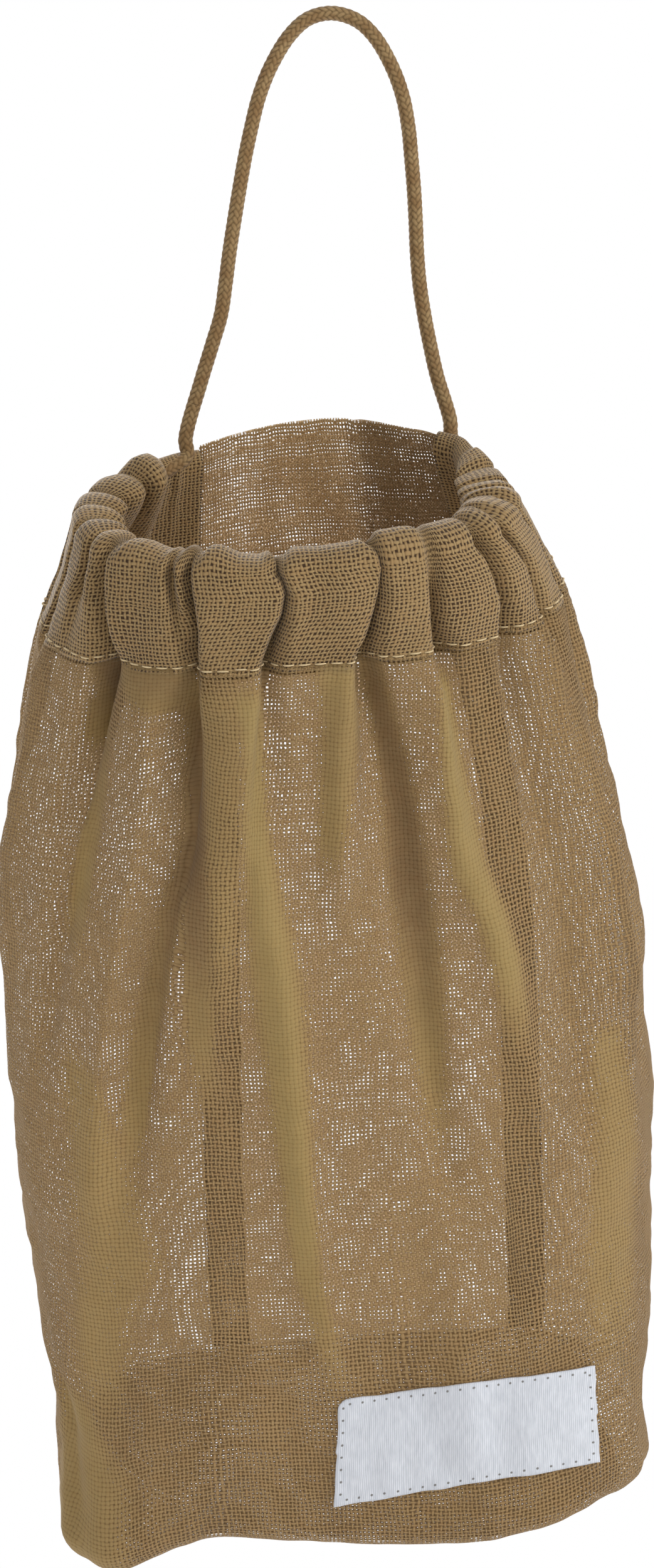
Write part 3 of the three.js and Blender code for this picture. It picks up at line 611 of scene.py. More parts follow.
def grid_uv(grid):
    """Even coordinates along and down a cloth, in metres: the usual way across and down its grid."""
    along = np.quantile(np.linalg.norm(np.diff(grid, axis=1), axis=-1), 0.75, axis=0)
    down = np.median(np.linalg.norm(np.diff(grid, axis=0), axis=-1), axis=1)
    u = np.concatenate([[0], np.cumsum(along)])
    v = np.concatenate([[0], np.cumsum(down)])
    return np.stack(np.meshgrid(u, -v), -1) * MM


def gathered_uv(grid, shares, depths, reference):
    """Even coordinates for a gathered cloth, in metres, whose lines run straight down each puff as they
    do in its reference row. What the rows' lengths differ by is taken up in the creases."""
    def rest_of_row(k):
        way = way_along(grid[k])
        length = arc_at("front", depths[k]).length
        edges, folds = [], []
        for side, table in CREASES:
            if table[-1, 0] > HEM_EDGE_DEPTH:
                edge, overhang = (line_table(table, depths[k], column) for column in (1, 2))
                edges.append(edge)
                folds.append(edge + side * (TAKE_UP_AT - overhang) / length)
        edges = np.array(edges)
        middles = np.concatenate([[0], (edges[1:] + edges[:-1]) / 2, [1]])
        return way, folds, np.interp(middles, shares[k], way), TAKE_UP_REACH / length

    wanted = np.diff(rest_of_row(reference)[2])
    rows = []
    for k in range(len(grid)):
        way, folds, middles, reach = rest_of_row(k)
        for fold, more in zip(folds, wanted - np.diff(middles)):
            way = way + more * smoothstep(fold - reach, fold + reach, shares[k])
        rows.append(way)
    down = grid_uv(grid)[..., 1]
    return np.stack([np.array(rows) * MM, down], -1)


def turned_under(foot, outward, radius, steps):
    """Rows that carry the foot of a cloth through a quarter turn, under the base."""
    rows = []
    for turn in np.linspace(0, math.pi / 2, steps + 1)[1:]:
        row = foot.copy()
        row[:, :2] -= outward * (radius * (1 - math.cos(turn)))
        row[:, 2] -= radius * math.sin(turn)
        rows.append(row)
    return rows


def placed(name, data):
    """A new object in the scene."""
    made = bpy.data.objects.new(name, data)
    bpy.context.scene.collection.objects.link(made)
    return made


def mark_points(piece, mark, values):
    """Stores one number a point in a piece, for its material to read."""
    attribute = piece.data.attributes.new(mark, "FLOAT", "POINT")
    attribute.data.foreach_set("value", np.asarray(values, np.float32))


def mesh_object(name, vertices, faces, uvs, material):
    """A smooth mesh from points in metres. uvs has one pair for each vertex."""
    mesh = bpy.data.meshes.new(name)
    mesh.from_pydata(vertices.tolist(), [], faces)
    mesh.shade_smooth()
    layer = mesh.uv_layers.new(name="weave")
    corners = np.empty(len(mesh.loops), int)
    mesh.loops.foreach_get("vertex_index", corners)
    layer.data.foreach_set("uv", np.asarray(uvs, np.float32)[corners].ravel())
    mesh.materials.append(material)
    return placed(name, mesh)


def tube(line, side, up, radius, sides):
    """Rings of points round a line, their numbers, and the quads between them."""
    angles = np.arange(sides) * 2 * math.pi / sides
    across_it = np.cos(angles)[None, :, None] * side[:, None]
    up_it = np.sin(angles)[None, :, None] * up[:, None]
    rings = line[:, None] + radius[..., None] * (across_it + up_it)
    index = np.arange(len(line) * sides).reshape(len(line), sides)
    after = np.roll(index, -1, axis=1)
    return rings, index, np.stack([index[:-1], after[:-1], after[1:], index[1:]], -1).reshape(-1, 4)


def cloth_piece(name, grid, material, uv=None, thickness=CLOTH, marks=None):
    """A closed sheet of cloth round a grid of its middle, with the weave on both faces."""
    normals = grid_normals(grid)
    layers = np.stack([grid + normals * thickness / 2, grid - normals * thickness / 2])
    rows, columns = grid.shape[:2]
    index = np.arange(layers[..., 0].size).reshape(2, rows, columns)
    front, rear = index

    def quads(a, b, c, d):
        return np.stack([a, b, c, d], -1).reshape(-1, 4)

    faces = [
        quads(front[:-1, :-1], front[1:, :-1], front[1:, 1:], front[:-1, 1:]),
        quads(rear[:-1, :-1], rear[:-1, 1:], rear[1:, 1:], rear[1:, :-1]),
        quads(front[:-1, 0], rear[:-1, 0], rear[1:, 0], front[1:, 0]),
        quads(front[:-1, -1], front[1:, -1], rear[1:, -1], rear[:-1, -1]),
        quads(front[0, :-1], front[0, 1:], rear[0, 1:], rear[0, :-1]),
        quads(front[-1, :-1], rear[-1, :-1], rear[-1, 1:], front[-1, 1:]),
    ]
    uv = grid_uv(grid) if uv is None else uv
    piece = mesh_object(
        name, to_row(layers.reshape(-1, 3)), np.concatenate(faces).tolist(),
        np.concatenate([uv.reshape(-1, 2)] * 2), material,
    )
    for mark, values in (marks or {}).items():
        mark_points(piece, mark, np.tile(values.ravel(), 2))
    return piece


def sample_grid(grid, rows, columns):
    """Points of a grid at fractional rows and columns."""
    rows = np.clip(rows, 0, grid.shape[0] - 1.001)
    columns = np.clip(columns, 0, grid.shape[1] - 1.001)
    r, c = rows.astype(int), columns.astype(int)
    fr, fc = (rows - r)[..., None], (columns - c)[..., None]
    top = grid[r, c] * (1 - fc) + grid[r, c + 1] * fc
    low = grid[r + 1, c] * (1 - fc) + grid[r + 1, c + 1] * fc
    return top * (1 - fr) + low * fr


# Materials
class Value:
    """What a node gives. Signs and math() add the nodes that work on a number."""

    def __init__(self, shader, socket):
        self.shader, self.socket = shader, socket

    def math(self, operation, *others):
        return self.shader.math(operation, self, *others)

    def __add__(self, other):
        return self.math("ADD", other)

    def __sub__(self, other):
        return self.math("SUBTRACT", other)

    def __mul__(self, other):
        return self.math("MULTIPLY", other)

    def __truediv__(self, other):
        return self.math("DIVIDE", other)

    def remap(self, low, high, to_low=0.0, to_high=1.0):
        """The number, moved from one range to another and kept within it."""
        inputs = {"Value": self, "From Min": low, "From Max": high, "To Min": to_low, "To Max": to_high}
        return self.shader.value("MapRange", inputs)


class Shader:
    """A material, or the world, under construction. Places on a weave are in millimetres."""

    def __init__(self, name, kind=bpy.data.materials):
        self.owner = kind.new(name)
        self.owner.use_nodes = True
        self.tree = self.owner.node_tree
        self.tree.nodes.clear()

    def node(self, kind, inputs=(), **settings):
        """A new node, with its inputs linked or set."""
        made = self.tree.nodes.new("ShaderNode" + kind)
        for key, value in settings.items():
            setattr(made, key, value)
        for key, value in dict(inputs).items():
            if isinstance(value, Value):
                self.tree.links.new(value.socket, made.inputs[key])
            else:
                made.inputs[key].default_value = value
        return made

    def value(self, kind, inputs=(), output=0, **settings):
        """What a new node gives."""
        return Value(self, self.node(kind, inputs, **settings).outputs[output])

    def math(self, operation, *values):
        return self.value("Math", enumerate(values), operation=operation)

    def colour_between(self, share, low, high):
        """A colour between two. Sockets 6 and 7 of the node take the colours, and 2 gives the result."""
        return self.value("Mix", {0: share, 6: low, 7: high}, output=2, data_type="RGBA")

    def noise(self, place, scale, detail=1.0):
        return self.value("TexNoise", {"Vector": place, "Scale": scale, "Detail": detail})

    def combine(self, x, y, z):
        return self.value("CombineXYZ", {"X": x, "Y": y, "Z": z})

    def place(self):
        """The two coordinates along the weave, in millimetres."""
        parts = self.node("SeparateXYZ", {"Vector": self.value("UVMap", uv_map="weave")})
        return [Value(self, parts.outputs[k]) / MM for k in (0, 1)]

    def mark(self, name):
        """The number that mark_points stored under a name."""
        return self.value("Attribute", output="Fac", attribute_name=name)

    def bump(self, height, distance, strength):
        return self.value("Bump", {"Height": height, "Distance": distance, "Strength": strength})

    def fabric(self, colour, normal, sheen=0.15):
        """Rough yarn."""
        return self.value("BsdfPrincipled", {
            "Base Color": colour, "Normal": normal, "Roughness": 0.85,
            "Sheen Weight": sheen, "Sheen Roughness": 0.5, "Specular IOR Level": 0.2,
        })

    def finish(self, surface, output="OutputMaterial"):
        self.node(output, {"Surface": surface})
        return self.owner


def linear(red, green, blue):
    """A colour as it shows on a screen, in parts of 255, as a shader's colour."""
    def channel(value):
        value /= 255
        return value / 12.92 if value <= 0.04045 else ((value + 0.055) / 1.055) ** 2.4
    return channel(red), channel(green), channel(blue), 1


YARN_LIGHT = linear(196, 166, 116)
# Painted shade: the yarn where its threads dip low and on their sides
YARN_SHADED_LOW = linear(122, 92, 54)
YARN_WARM = linear(178, 138, 88)
# Painted highlight: the lighter gold of the cloth lit where it lies double in a fold
YARN_FOLD_HIGHLIGHT = linear(200, 176, 120)
YARN_GLOW = linear(218, 205, 184)
YARN_GLOW_DARK = linear(178, 158, 132)
REAR_GLOW = linear(224, 209, 188)
REAR_GLOW_DARK = linear(188, 168, 142)
BASE_GLOW = linear(206, 186, 154)
BASE_GLOW_DARK = linear(166, 142, 110)
# Painted shade: the colour that folds in shadow and the casing's shadow on the back are drawn towards
SHADE = linear(72, 34, 12)
BLACK = (0, 0, 0, 1)
WHITE = (1, 1, 1, 1)
# Painted shade: the casing's inner layer in shadow, seen through the holes of an opaque weave
HOLE_SHADE = linear(58, 40, 21)


def weave_material(name, thread_width, jitter, shade, stray=1.0, translucency=0.45, sees_through=True,
                   lean=0.0, glowing=(YARN_GLOW_DARK, YARN_GLOW)):
    """Plain weave, one thread to the millimetre each way. The holes between its threads are open, or
    painted dark as the shade of a second layer that lies close behind. The threads are painted darker
    where they stand low, as shade, and lighter gold on closed streaks, as a painted highlight.
    glowing is the light that comes through, from dark to light."""
    shader = Shader(name)
    u, v = shader.place()
    place = shader.combine(u, v, 0.0)
    swapped = shader.combine(v, u, 7.0)

    def straying(value, where):
        """A coordinate in pitches, drawn askew a little over long and over short ways."""
        value = value / PITCH
        for scale, reach in ((0.03, 3.5 * stray), (0.13, 0.9 * stray)):
            value = (shader.noise(where, scale) - 0.5).math("MULTIPLY_ADD", reach, value)
        return value

    u, v = straying(u, place), straying(v, swapped)
    blotch = shader.noise(shader.combine(u, v * 0.35, 3.0), 0.07, 3.0)
    closed, shaded = shader.mark("closed"), shader.mark("shaded")

    def threads(across_it, along_it, seed, over):
        """One set of threads: where they are, how high they stand and how light each one is."""
        number = across_it.math("FLOOR")
        shift = shader.noise(shader.combine(number * 5.3, along_it * 0.5, seed + 40), 1.0)
        middle = shift.remap(0.25, 0.75, 0.5 - jitter, 0.5 + jitter)
        off = (across_it.math("FRACT") - middle).math("ABSOLUTE")
        slub = shader.noise(shader.combine(number * 3.7, along_it * 0.35, seed), 1.0, 2.0)
        wide = thread_width * (1 - lean * over)
        width = slub.remap(0.25, 0.75, wide * 0.75, wide * 1.25) + blotch.remap(0.3, 0.7, -0.1, 0.13)
        width = closed.math("MULTIPLY_ADD", 0.7, width)
        share = off * 2.0 / width
        inside = share.math("LESS_THAN", 1.0)
        profile = shader.math("SUBTRACT", 1.0, share * share).math("MAXIMUM", 0.0).math("SQRT")
        rise = ((along_it - 0.5 + number) * math.pi).math("COSINE") * (0.5 * over)
        return inside, (profile + rise) * inside, slub

    warp_in, warp_height, warp_tone = threads(u, v, 1.0, 1)
    weft_in, weft_height, weft_tone = threads(v, u, 5.0, -1)
    height = warp_height.math("MAXIMUM", weft_height)
    solid = warp_in.math("MAXIMUM", weft_in)
    tone = warp_tone + weft_tone
    # Painted shade: the threads darker where they stand low, read from their height
    light = height.remap(0.1, 1.2)
    yarn = shader.colour_between(tone.remap(0.7, 1.3, 0.0, 0.55), YARN_LIGHT, YARN_WARM)
    # Painted highlight: lit gold on closed streaks that are not shaded
    fold_highlight = closed * shaded.remap(0.0, 0.25, 1.0, 0.0)
    yarn = shader.colour_between(fold_highlight, yarn, YARN_FOLD_HIGHLIGHT)
    colour = shader.colour_between(light, YARN_SHADED_LOW, yarn)
    fuzz = shader.noise(shader.combine(u, v, 1.0), 6.0, 2.0)
    normal = shader.bump(height + fuzz * 0.35, 0.16 * MM, 0.8)
    # shade darkens the whole weave; for the seams and the base's inner face it is painted shade
    colour = shader.colour_between(shade, BLACK, colour)
    # Painted shade of the shaded streaks and of the casing's end
    colour = shader.colour_between(shaded, colour, SHADE)
    if not sees_through:
        # Painted shade in the holes, where the inner layer lies in shadow
        colour = shader.colour_between(solid, HOLE_SHADE, colour)
        return shader.finish(shader.fabric(colour, normal))
    glow = shader.colour_between(light, *glowing)
    # Painted highlight in the light that comes through as well
    glow = shader.colour_between(fold_highlight, glow, YARN_FOLD_HIGHLIGHT)
    # Painted shade in the light that comes through as well
    glow = shader.colour_between(shaded, glow, SHADE)
    surface = shader.fabric(colour, normal)
    through = shader.value("BsdfTranslucent", {"Color": glow, "Normal": normal})
    surface = shader.value("MixShader", {0: translucency, 1: surface, 2: through})
    hole = shader.value("BsdfTransparent")
    return shader.finish(shader.value("MixShader", {0: solid, 1: hole, 2: surface}))


def cord_material():
    """Braided cotton, painted darker between its strands as shade, with fine fibres along them."""
    shader = Shader("cord_braid")
    relief = shader.mark("relief")
    u, v = shader.place()
    fibres = shader.noise(shader.combine(u, v, 0.0), 5.0, 3.0)
    tone = shader.noise(shader.combine(u, v, 4.0), 0.35, 2.0)
    # Painted shade: darker where the braid's relief is low
    light = relief.remap(0.05, 0.75) * fibres.remap(0.3, 0.7, 0.8, 1.0)
    yarn = shader.colour_between(tone.remap(0.35, 0.65), linear(158, 132, 92), linear(138, 108, 70))
    colour = shader.colour_between(light, linear(84, 62, 36), yarn)
    return shader.finish(shader.fabric(colour, shader.bump(fibres, 0.1 * MM, 0.6)))


def thread_material(name, colour):
    """Twisted sewing thread, painted darker in the grooves of its twist as shade."""
    shader = Shader(name)
    twist = shader.noise(shader.value("TexCoord", output="Object"), 3.0 / MM, 2.0)
    shade = shader.colour_between(twist, tuple(0.7 * c for c in colour[:3]) + (1,), colour)
    return shader.finish(shader.fabric(shade, shader.bump(twist, 0.08 * MM, 0.6)))


def needle_holes(along, across_it, side):
    """Distance to the nearest needle hole of two of the label's four rows of stitches, in millimetres."""
    half_along, half_across = (LABEL_SIZE[k] / 2 - LABEL_SEAM for k in (side, 1 - side))
    off = across_it.math("ABSOLUTE") - half_across
    step = (((along + half_along) / LABEL_STITCH).math("FRACT") - 0.5) * LABEL_STITCH
    past_end = (along.math("ABSOLUTE") - half_along).math("MAXIMUM", 0.0)
    squares = [value * value for value in (off, step, past_end)]
    return (squares[0] + squares[1] + squares[2]).math("SQRT")


def label_material():
    """Woven tape with fine ribs across it, painted darker in their grooves as shade, and the holes of its
    stitches, painted grey as shade.
    """
    shader = Shader("label_tape")
    u, v = shader.place()
    rib = (u * (2 * math.pi / LABEL_RIB)).math("SINE")
    uneven = shader.noise(shader.combine(u * 1.4, v * 0.3, 0.0), 1.0, 2.0)
    pick = (v * (2 * math.pi / LABEL_PICK)).math("SINE")
    relief = rib + pick * 0.35
    # Painted shade in the ribs' grooves, with real unevenness of tone
    tone = rib.remap(-1.0, 1.0, 0.0, 0.55) + uneven.remap(0.3, 0.7, 0.0, 0.45)
    colour = shader.colour_between(tone, linear(182, 186, 194), linear(217, 219, 225))
    holes = needle_holes(u, v, 0).math("MINIMUM", needle_holes(v, u, 1))
    # Painted shade in the needle holes
    colour = shader.colour_between(holes.remap(0.2, 0.36), linear(120, 118, 116), colour)
    return shader.finish(shader.fabric(colour, shader.bump(relief, 0.05 * MM, 0.5), 0.05))


sheer = weave_material("sheer_cloth", 0.5, 0.12, 0.85)
rear_sheer = weave_material(
    "rear_sheer_cloth", 0.53, 0.22, 0.9, 1.2, 0.5, glowing=(REAR_GLOW_DARK, REAR_GLOW))
hemmed = weave_material("hem_cloth", 0.54, 0.18, 0.64, 0.8, sees_through=False, lean=0.04)
# Painted shade: the seam allowances darkened as the bag's shaded inside, seen through the front
seam_shaded = weave_material("seam_cloth_painted_shade", 0.7, 0.12, 0.3, 0.6)
# Painted shade: the base's inner face much darker than its underside, as the bag's shaded inside
base_inside_shaded = weave_material("base_weave_painted_shade", 0.7, 0.12, 0.16, 0.8, glowing=(BASE_GLOW_DARK, BASE_GLOW))
base_underside = weave_material(
    "base_underside_weave", 0.7, 0.12, 0.75, 0.8, glowing=(BASE_GLOW_DARK, BASE_GLOW))
braid = cord_material()
seam_thread = thread_material("seam_thread", linear(218, 194, 150))
binding_thread = thread_material("binding_thread", linear(196, 170, 124))
tape = label_material()


# Camera at the photograph's viewing angle
CAMERA_TARGET = np.array([-1.1, 0, -178])
CAMERA_DISTANCE = 1100
CAMERA_ELEVATION = math.radians(2)
CAMERA_AWAY = np.array([0, -math.cos(CAMERA_ELEVATION), math.sin(CAMERA_ELEVATION)])
CAMERA_UP = np.array([0, math.sin(CAMERA_ELEVATION), math.cos(CAMERA_ELEVATION)])
VIEW_HEIGHT = 367.5


def make_camera():
    """The scene's camera, which looks at the bag from in front."""
    data = bpy.data.cameras.new("camera")
    data.lens = data.sensor_width * CAMERA_DISTANCE / VIEW_HEIGHT
    camera = placed("camera", data)
    camera.location = (CAMERA_TARGET + CAMERA_AWAY * CAMERA_DISTANCE) * MM
    camera.rotation_euler = (math.pi / 2 - CAMERA_ELEVATION, 0, 0)
    bpy.context.scene.camera = camera


make_camera()


# The cord: one centreline, from the front of the casing to the left exit, round the loop, and back
def channel_point(share):
    """The middle of the casing's channel at a share of the way round."""
    place, _, outward = arc_at("front", 0).at(np.array([share]))
    inside = place[0] - outward[0] * cord_inset(share)
    return in_row([*inside, min(0, line_table(RIM, share)) - CHANNEL_DEPTH])


def smooth_line(points, step):
    """A centripetal Catmull-Rom curve through points, in even steps."""
    points = np.asarray(points, float)
    knots = np.concatenate([[0], np.cumsum(np.linalg.norm(np.diff(points, axis=0), axis=1) ** 0.5)])
    padded = np.concatenate([[2 * points[0] - points[1]], points, [2 * points[-1] - points[-2]]])
    times = np.concatenate([[knots[0] * 2 - knots[1]], knots, [2 * knots[-1] - knots[-2]]])
    dense = []
    for k in range(len(points) - 1):
        t0, t1, t2, t3 = times[k:k + 4]
        p0, p1, p2, p3 = padded[k:k + 4]
        t = np.linspace(t1, t2, CURVE_PARTS, endpoint=k == len(points) - 2)[:, None]

        def mixed(first, second, start, end):
            return (end - t) / (end - start) * first + (t - start) / (end - start) * second

        a1, a2, a3 = mixed(p0, p1, t0, t1), mixed(p1, p2, t1, t2), mixed(p2, p3, t2, t3)
        dense.append(mixed(mixed(a1, a2, t0, t2), mixed(a2, a3, t1, t3), t1, t2))
    dense = np.concatenate(dense)
    way = way_along(dense)
    return resampled(dense, way, np.linspace(0, way[-1], max(2, round(way[-1] / step)) + 1))


def exit_points(side):
    """The cord's pivot on one side, and the point below it where the cord bends into the channel."""
    at = side * EXIT_SPREAD / 2
    bend_back, bend_up = EXIT_BEND
    return in_row([[at, 0, PIVOT_HEIGHT], [at, bend_back, -CHANNEL_DEPTH + bend_up]])


def whole_route():
    """Points of the whole centreline."""
    shares = np.linspace(*CHANNEL_SHARES, CHANNEL_POINTS)
    left = [channel_point(share) for share in shares]
    right = [channel_point(1 - share) for share in shares]
    return np.array([*left, *exit_points(-1)[::-1], *LOOP_ROUTE, *exit_points(1), *right[::-1]])


route = smooth_line(whole_route(), CORD_STEP)


def nearest(point):
    """The place on the route nearest to a point."""
    return int(np.argmin(np.linalg.norm(route - point, axis=1)))


def turning_frames(line):
    """Directions across a line that turn as little as possible along it."""
    tangents = np.gradient(line, axis=0)
    tangents /= np.linalg.norm(tangents, axis=1, keepdims=True)
    side = np.cross(tangents[0], [0, 0, 1.0])
    sides = []
    for tangent in tangents:
        side = side - tangent * (side @ tangent)
        side /= np.linalg.norm(side)
        sides.append(side)
    sides = np.array(sides)
    return sides, np.cross(tangents, sides)


route_sides, route_ups = turning_frames(route)


def strand_height(turns, cells):
    """Height of a two-over, two-under braid, from 0 to 1, at places round and along it in strands."""
    p, q = turns + cells, turns - cells
    i, j = np.floor(p), np.floor(q)
    first_on_top = np.mod(i + j, 4) < 2
    along_first = np.mod(q + i, 4) / 2
    along_second = (np.mod(p + j, 4) - 2) / 2
    first = lobe(p - i, 0.6) * lobe(np.clip(along_first, 0.02, 0.98), 0.4)
    second = lobe(q - j, 0.6) * lobe(np.clip(along_second, 0.02, 0.98), 0.4)
    return np.where(first_on_top, first, second)


def cord_piece(name, start, end, skip, sides):
    """The braided cord from one place of the route to another."""
    places = np.unique(np.append(np.arange(start, end, skip), end))
    round_it, along_it = np.meshgrid(np.arange(sides) * 2 * math.pi / sides, places * CORD_STEP)
    relief = strand_height(round_it * STRANDS / (2 * math.pi), along_it / BRAID_CELL)
    radius = CORD_RADIUS - BRAID_RELIEF * (1 - relief)
    rings, index, quads = tube(route[places], route_sides[places], route_ups[places], radius, sides)
    vertices = np.concatenate([rings.reshape(-1, 3), route[[start, end]]]) * MM
    faces, last = quads.tolist(), index.size
    faces += [[last, b, a] for a, b in zip(index[0], np.roll(index[0], -1))]
    faces += [[last + 1, a, b] for a, b in zip(index[-1], np.roll(index[-1], -1))]
    uvs = np.stack([round_it * CORD_RADIUS, along_it], -1).reshape(-1, 2)
    uvs = np.concatenate([uvs, uvs[:1], uvs[-1:]]) * MM
    piece = mesh_object(name, vertices, faces, uvs, braid)
    mark_points(piece, "relief", np.append(relief.ravel(), [0, 0]))
    return piece


pivots = [exit_points(side)[0] for side in (-1, 1)]
left_pivot, right_pivot = nearest(pivots[0]), nearest(pivots[1])
neck_steps = round(NECK / CORD_STEP)
bend_steps = round(BEND / CORD_STEP)
loop_start, loop_end = left_pivot + neck_steps, right_pivot - neck_steps
left_end, right_end = left_pivot - bend_steps, right_pivot + bend_steps

# The cord's loop between the two necks, whose legs lengthen when the cord is drawn out
loop = cord_piece("drawstring_loop_cord", loop_start, loop_end, **SEEN_CORD)
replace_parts(loop, "drawstring_loop")
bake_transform(loop)
tuple(pivots[0] * MM)
(route[loop_start:loop_end + 1:CORD_PATH_SKIP] * MM).tolist()

for side, middle, start, end in (
    ("left", pivots[0], left_end, loop_start), ("right", pivots[1], loop_end, right_end),
):
    piece = cord_piece(f"cord_exit_{side}", start, end, **SEEN_CORD)
    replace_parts(piece, f"cord_neck_{side}", f"cord_bend_{side}")
    (middle + [0, 0, 5]) * MM
    (middle - [0, 0, 3]) * MM
    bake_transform(piece)

# The cord inside the casing, from the front round to each exit
casing_cord_left = cord_piece("casing_cord_left", 0, left_end, **HIDDEN_CORD)
casing_cord_right = cord_piece("casing_cord_right", right_end, len(route) - 1, **HIDDEN_CORD)
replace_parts(casing_cord_left, "cord_side_left", "cord_front")
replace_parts(casing_cord_right, "cord_side_right")
for piece in (casing_cord_left, casing_cord_right):
    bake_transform(piece)


# Cloths
def front_wall():
    """The front cloth from the stitch line down and under, round the base's fold."""
    upright = BAG_DEPTH - BASE_FOLD
    depths = np.linspace(STITCH_DEPTH, upright, BODY_ROWS)
    rows, marks, row_shares = [], [], []
    for depth in depths:
        row, shares = front_row(depth, FRONT_COLUMNS)
        drop = smooth_table(DROP, shares) * smoothstep(DROP_TOP, upright, depth)
        rows.append(np.column_stack([row, -depth - drop]))
        marks.append(streak_marks(depth, shares))
        row_shares.append(shares)
    outward = arc_at("front", upright).at(shares)[2]
    under = turned_under(rows[-1], outward, BASE_FOLD, FRONT_FOLD_ROWS)
    marks += [marks[-1]] * len(under)
    row_shares += [shares] * len(under)
    grid = np.array(rows + under)
    depths = np.append(depths, [upright] * len(under))
    uv = gathered_uv(grid, row_shares, depths, BODY_ROWS // 2)
    return grid, uv, dict(zip(("closed", "shaded"), np.array(marks).transpose(1, 0, 2)))


front_grid, front_uv, front_marks = front_wall()
front_cloth = cloth_piece("front_cloth", front_grid, sheer, uv=front_uv, marks=front_marks)
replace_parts(front_cloth, "front_panel")


def casing_grid():
    """The casing: up its outer layer, over the cord, and down its inner layer to the turned edge. Each
    row comes with its shares and its depth."""
    rows = []
    for depth in np.linspace(OUTER_EDGE_DEPTH, CHANNEL_DEPTH, CASING_ROWS["outer"]):
        row, shares = front_row(depth, CASING_COLUMNS)
        rows.append((np.insert(row, 2, -depth, 1), shares, depth))
    place, tangent, outward = arc_at("front", CHANNEL_DEPTH).at(shares)
    out, round_it = front_offsets(CHANNEL_DEPTH, shares)
    inset = cord_inset(shares)
    inner = -inner_face(shares)
    height, cell, seed = RIM_BUMPS
    top = RIM_LOW + RIM_PUFF * puffs(shares) + line_table(RIM, shares)
    top += height * lattice_noise(shares * RIM_LENGTH, 0, cell, seed)
    for turn in np.linspace(0, math.pi, CASING_ROWS["over_cord"])[1:-1]:
        reach = np.where(turn < math.pi / 2, out + inset, -inset - inner)
        offset = -inset + reach * math.cos(turn)
        moved = round_it * (1 + math.cos(turn)) / 2
        line = place + outward * offset[:, None] + tangent * moved[:, None]
        up = -CHANNEL_DEPTH + (top + CHANNEL_DEPTH) * math.sin(turn)
        rows.append((np.column_stack([line, up]), shares, CHANNEL_DEPTH))
    for depth in np.linspace(CHANNEL_DEPTH, HEM_EDGE_DEPTH, CASING_ROWS["inner"]):
        shares = front_row(depth, CASING_COLUMNS)[1]
        place, _, outward = arc_at("front", depth).at(shares)
        low_out = front_offsets(HEM_EDGE_DEPTH, shares)[0] - LAYER_GAP - CLOTH
        t = smoothstep(CHANNEL_DEPTH, HEM_EDGE_DEPTH, depth)
        line = place + outward * (-inner_face(shares) * (1 - t) + low_out * t)[:, None]
        rows.append((np.insert(line, 2, -depth, 1), shares, depth))
    grid, row_shares, depths = zip(*rows)
    grid = np.array(grid)
    return grid, gathered_uv(grid, row_shares, depths, CASING_ROWS["outer"] // 2)


casing, casing_uv = casing_grid()
casing_cloth = cloth_piece("casing_cloth", casing[::-1, ::-1], hemmed, uv=casing_uv[::-1, ::-1])
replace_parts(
    casing_cloth, "casing_end_left", "casing_left", "casing_front", "casing_right", "casing_end_right")


def back_row(depth, count, inset, span=(0, 1)):
    """Part of the back cloth at one depth, as points evenly spaced along it, and their shares."""
    shares = np.linspace(*span, count + 1)
    place, _, outward = arc_at("back", depth).at(shares)
    along = shares * BACK_WIDTH
    sway = sum(height * lattice_noise(along, depth, cell, seed) for height, cell, seed in BACK_BUMPS)
    sway *= smoothstep(0, BACK_EASE, np.minimum(shares, 1 - shares))
    pucker = PUCKER["in"] * bump(shares - PUCKER["at"], PUCKER["wide"])
    sway -= pucker * (1 - smoothstep(*PUCKER["depths"], depth))
    return place + outward * (sway - inset)[:, None], shares


def back_grid(top, bottom, count, row_count, inset=0.0, fold=False):
    """The back cloth between two depths, with the arch of its top edge. fold turns its foot under."""
    rows = []
    for depth in np.linspace(top, bottom, row_count):
        row, shares = back_row(depth, count, inset)
        lift = BACK_ARCH * np.sin(np.pi * shares) * max(0.0, 1 - depth / BACK_HEM_DEPTH)
        rows.append(np.column_stack([row, -depth + lift]))
    if fold:
        outward = arc_at("back", bottom).at(shares)[2]
        rows += turned_under(rows[-1], outward, BASE_FOLD, BACK_FOLD_ROWS)
    return np.array(rows)


def back_marks(grid):
    """The shade that the right end of the casing casts on the back cloth beside it."""
    shares, depths = np.linspace(0, 1, grid.shape[1]), -grid[..., 2]
    shaded = CASING_SHADE["dark"] * (1 - smoothstep(*CASING_SHADE["shares"], shares))
    return {"shaded": shaded * (1 - smoothstep(*CASING_SHADE["depths"], depths))}


back_wall = back_grid(0, BAG_DEPTH - BASE_FOLD, BACK_COLUMNS, BACK_ROWS, fold=True)
back_cloth = cloth_piece("back_cloth", back_wall, rear_sheer, marks=back_marks(back_wall))
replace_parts(back_cloth, "back_panel")
hem = back_grid(BACK_HEM_TOP, BACK_HEM_DEPTH, HEM_COLUMNS, HEM_ROWS, inset=CLOTH + BACK_HEM_GAP)
hem_uv = grid_uv(hem) * BACK_HEM_WEAVE
hem_uv[..., 0] = np.linspace(0, grid_uv(back_wall)[0, -1, 0], hem.shape[1])
back_hem = cloth_piece("back_hem_cloth", hem, rear_sheer, uv=hem_uv, marks=back_marks(hem))
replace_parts(back_hem, "back_hem")


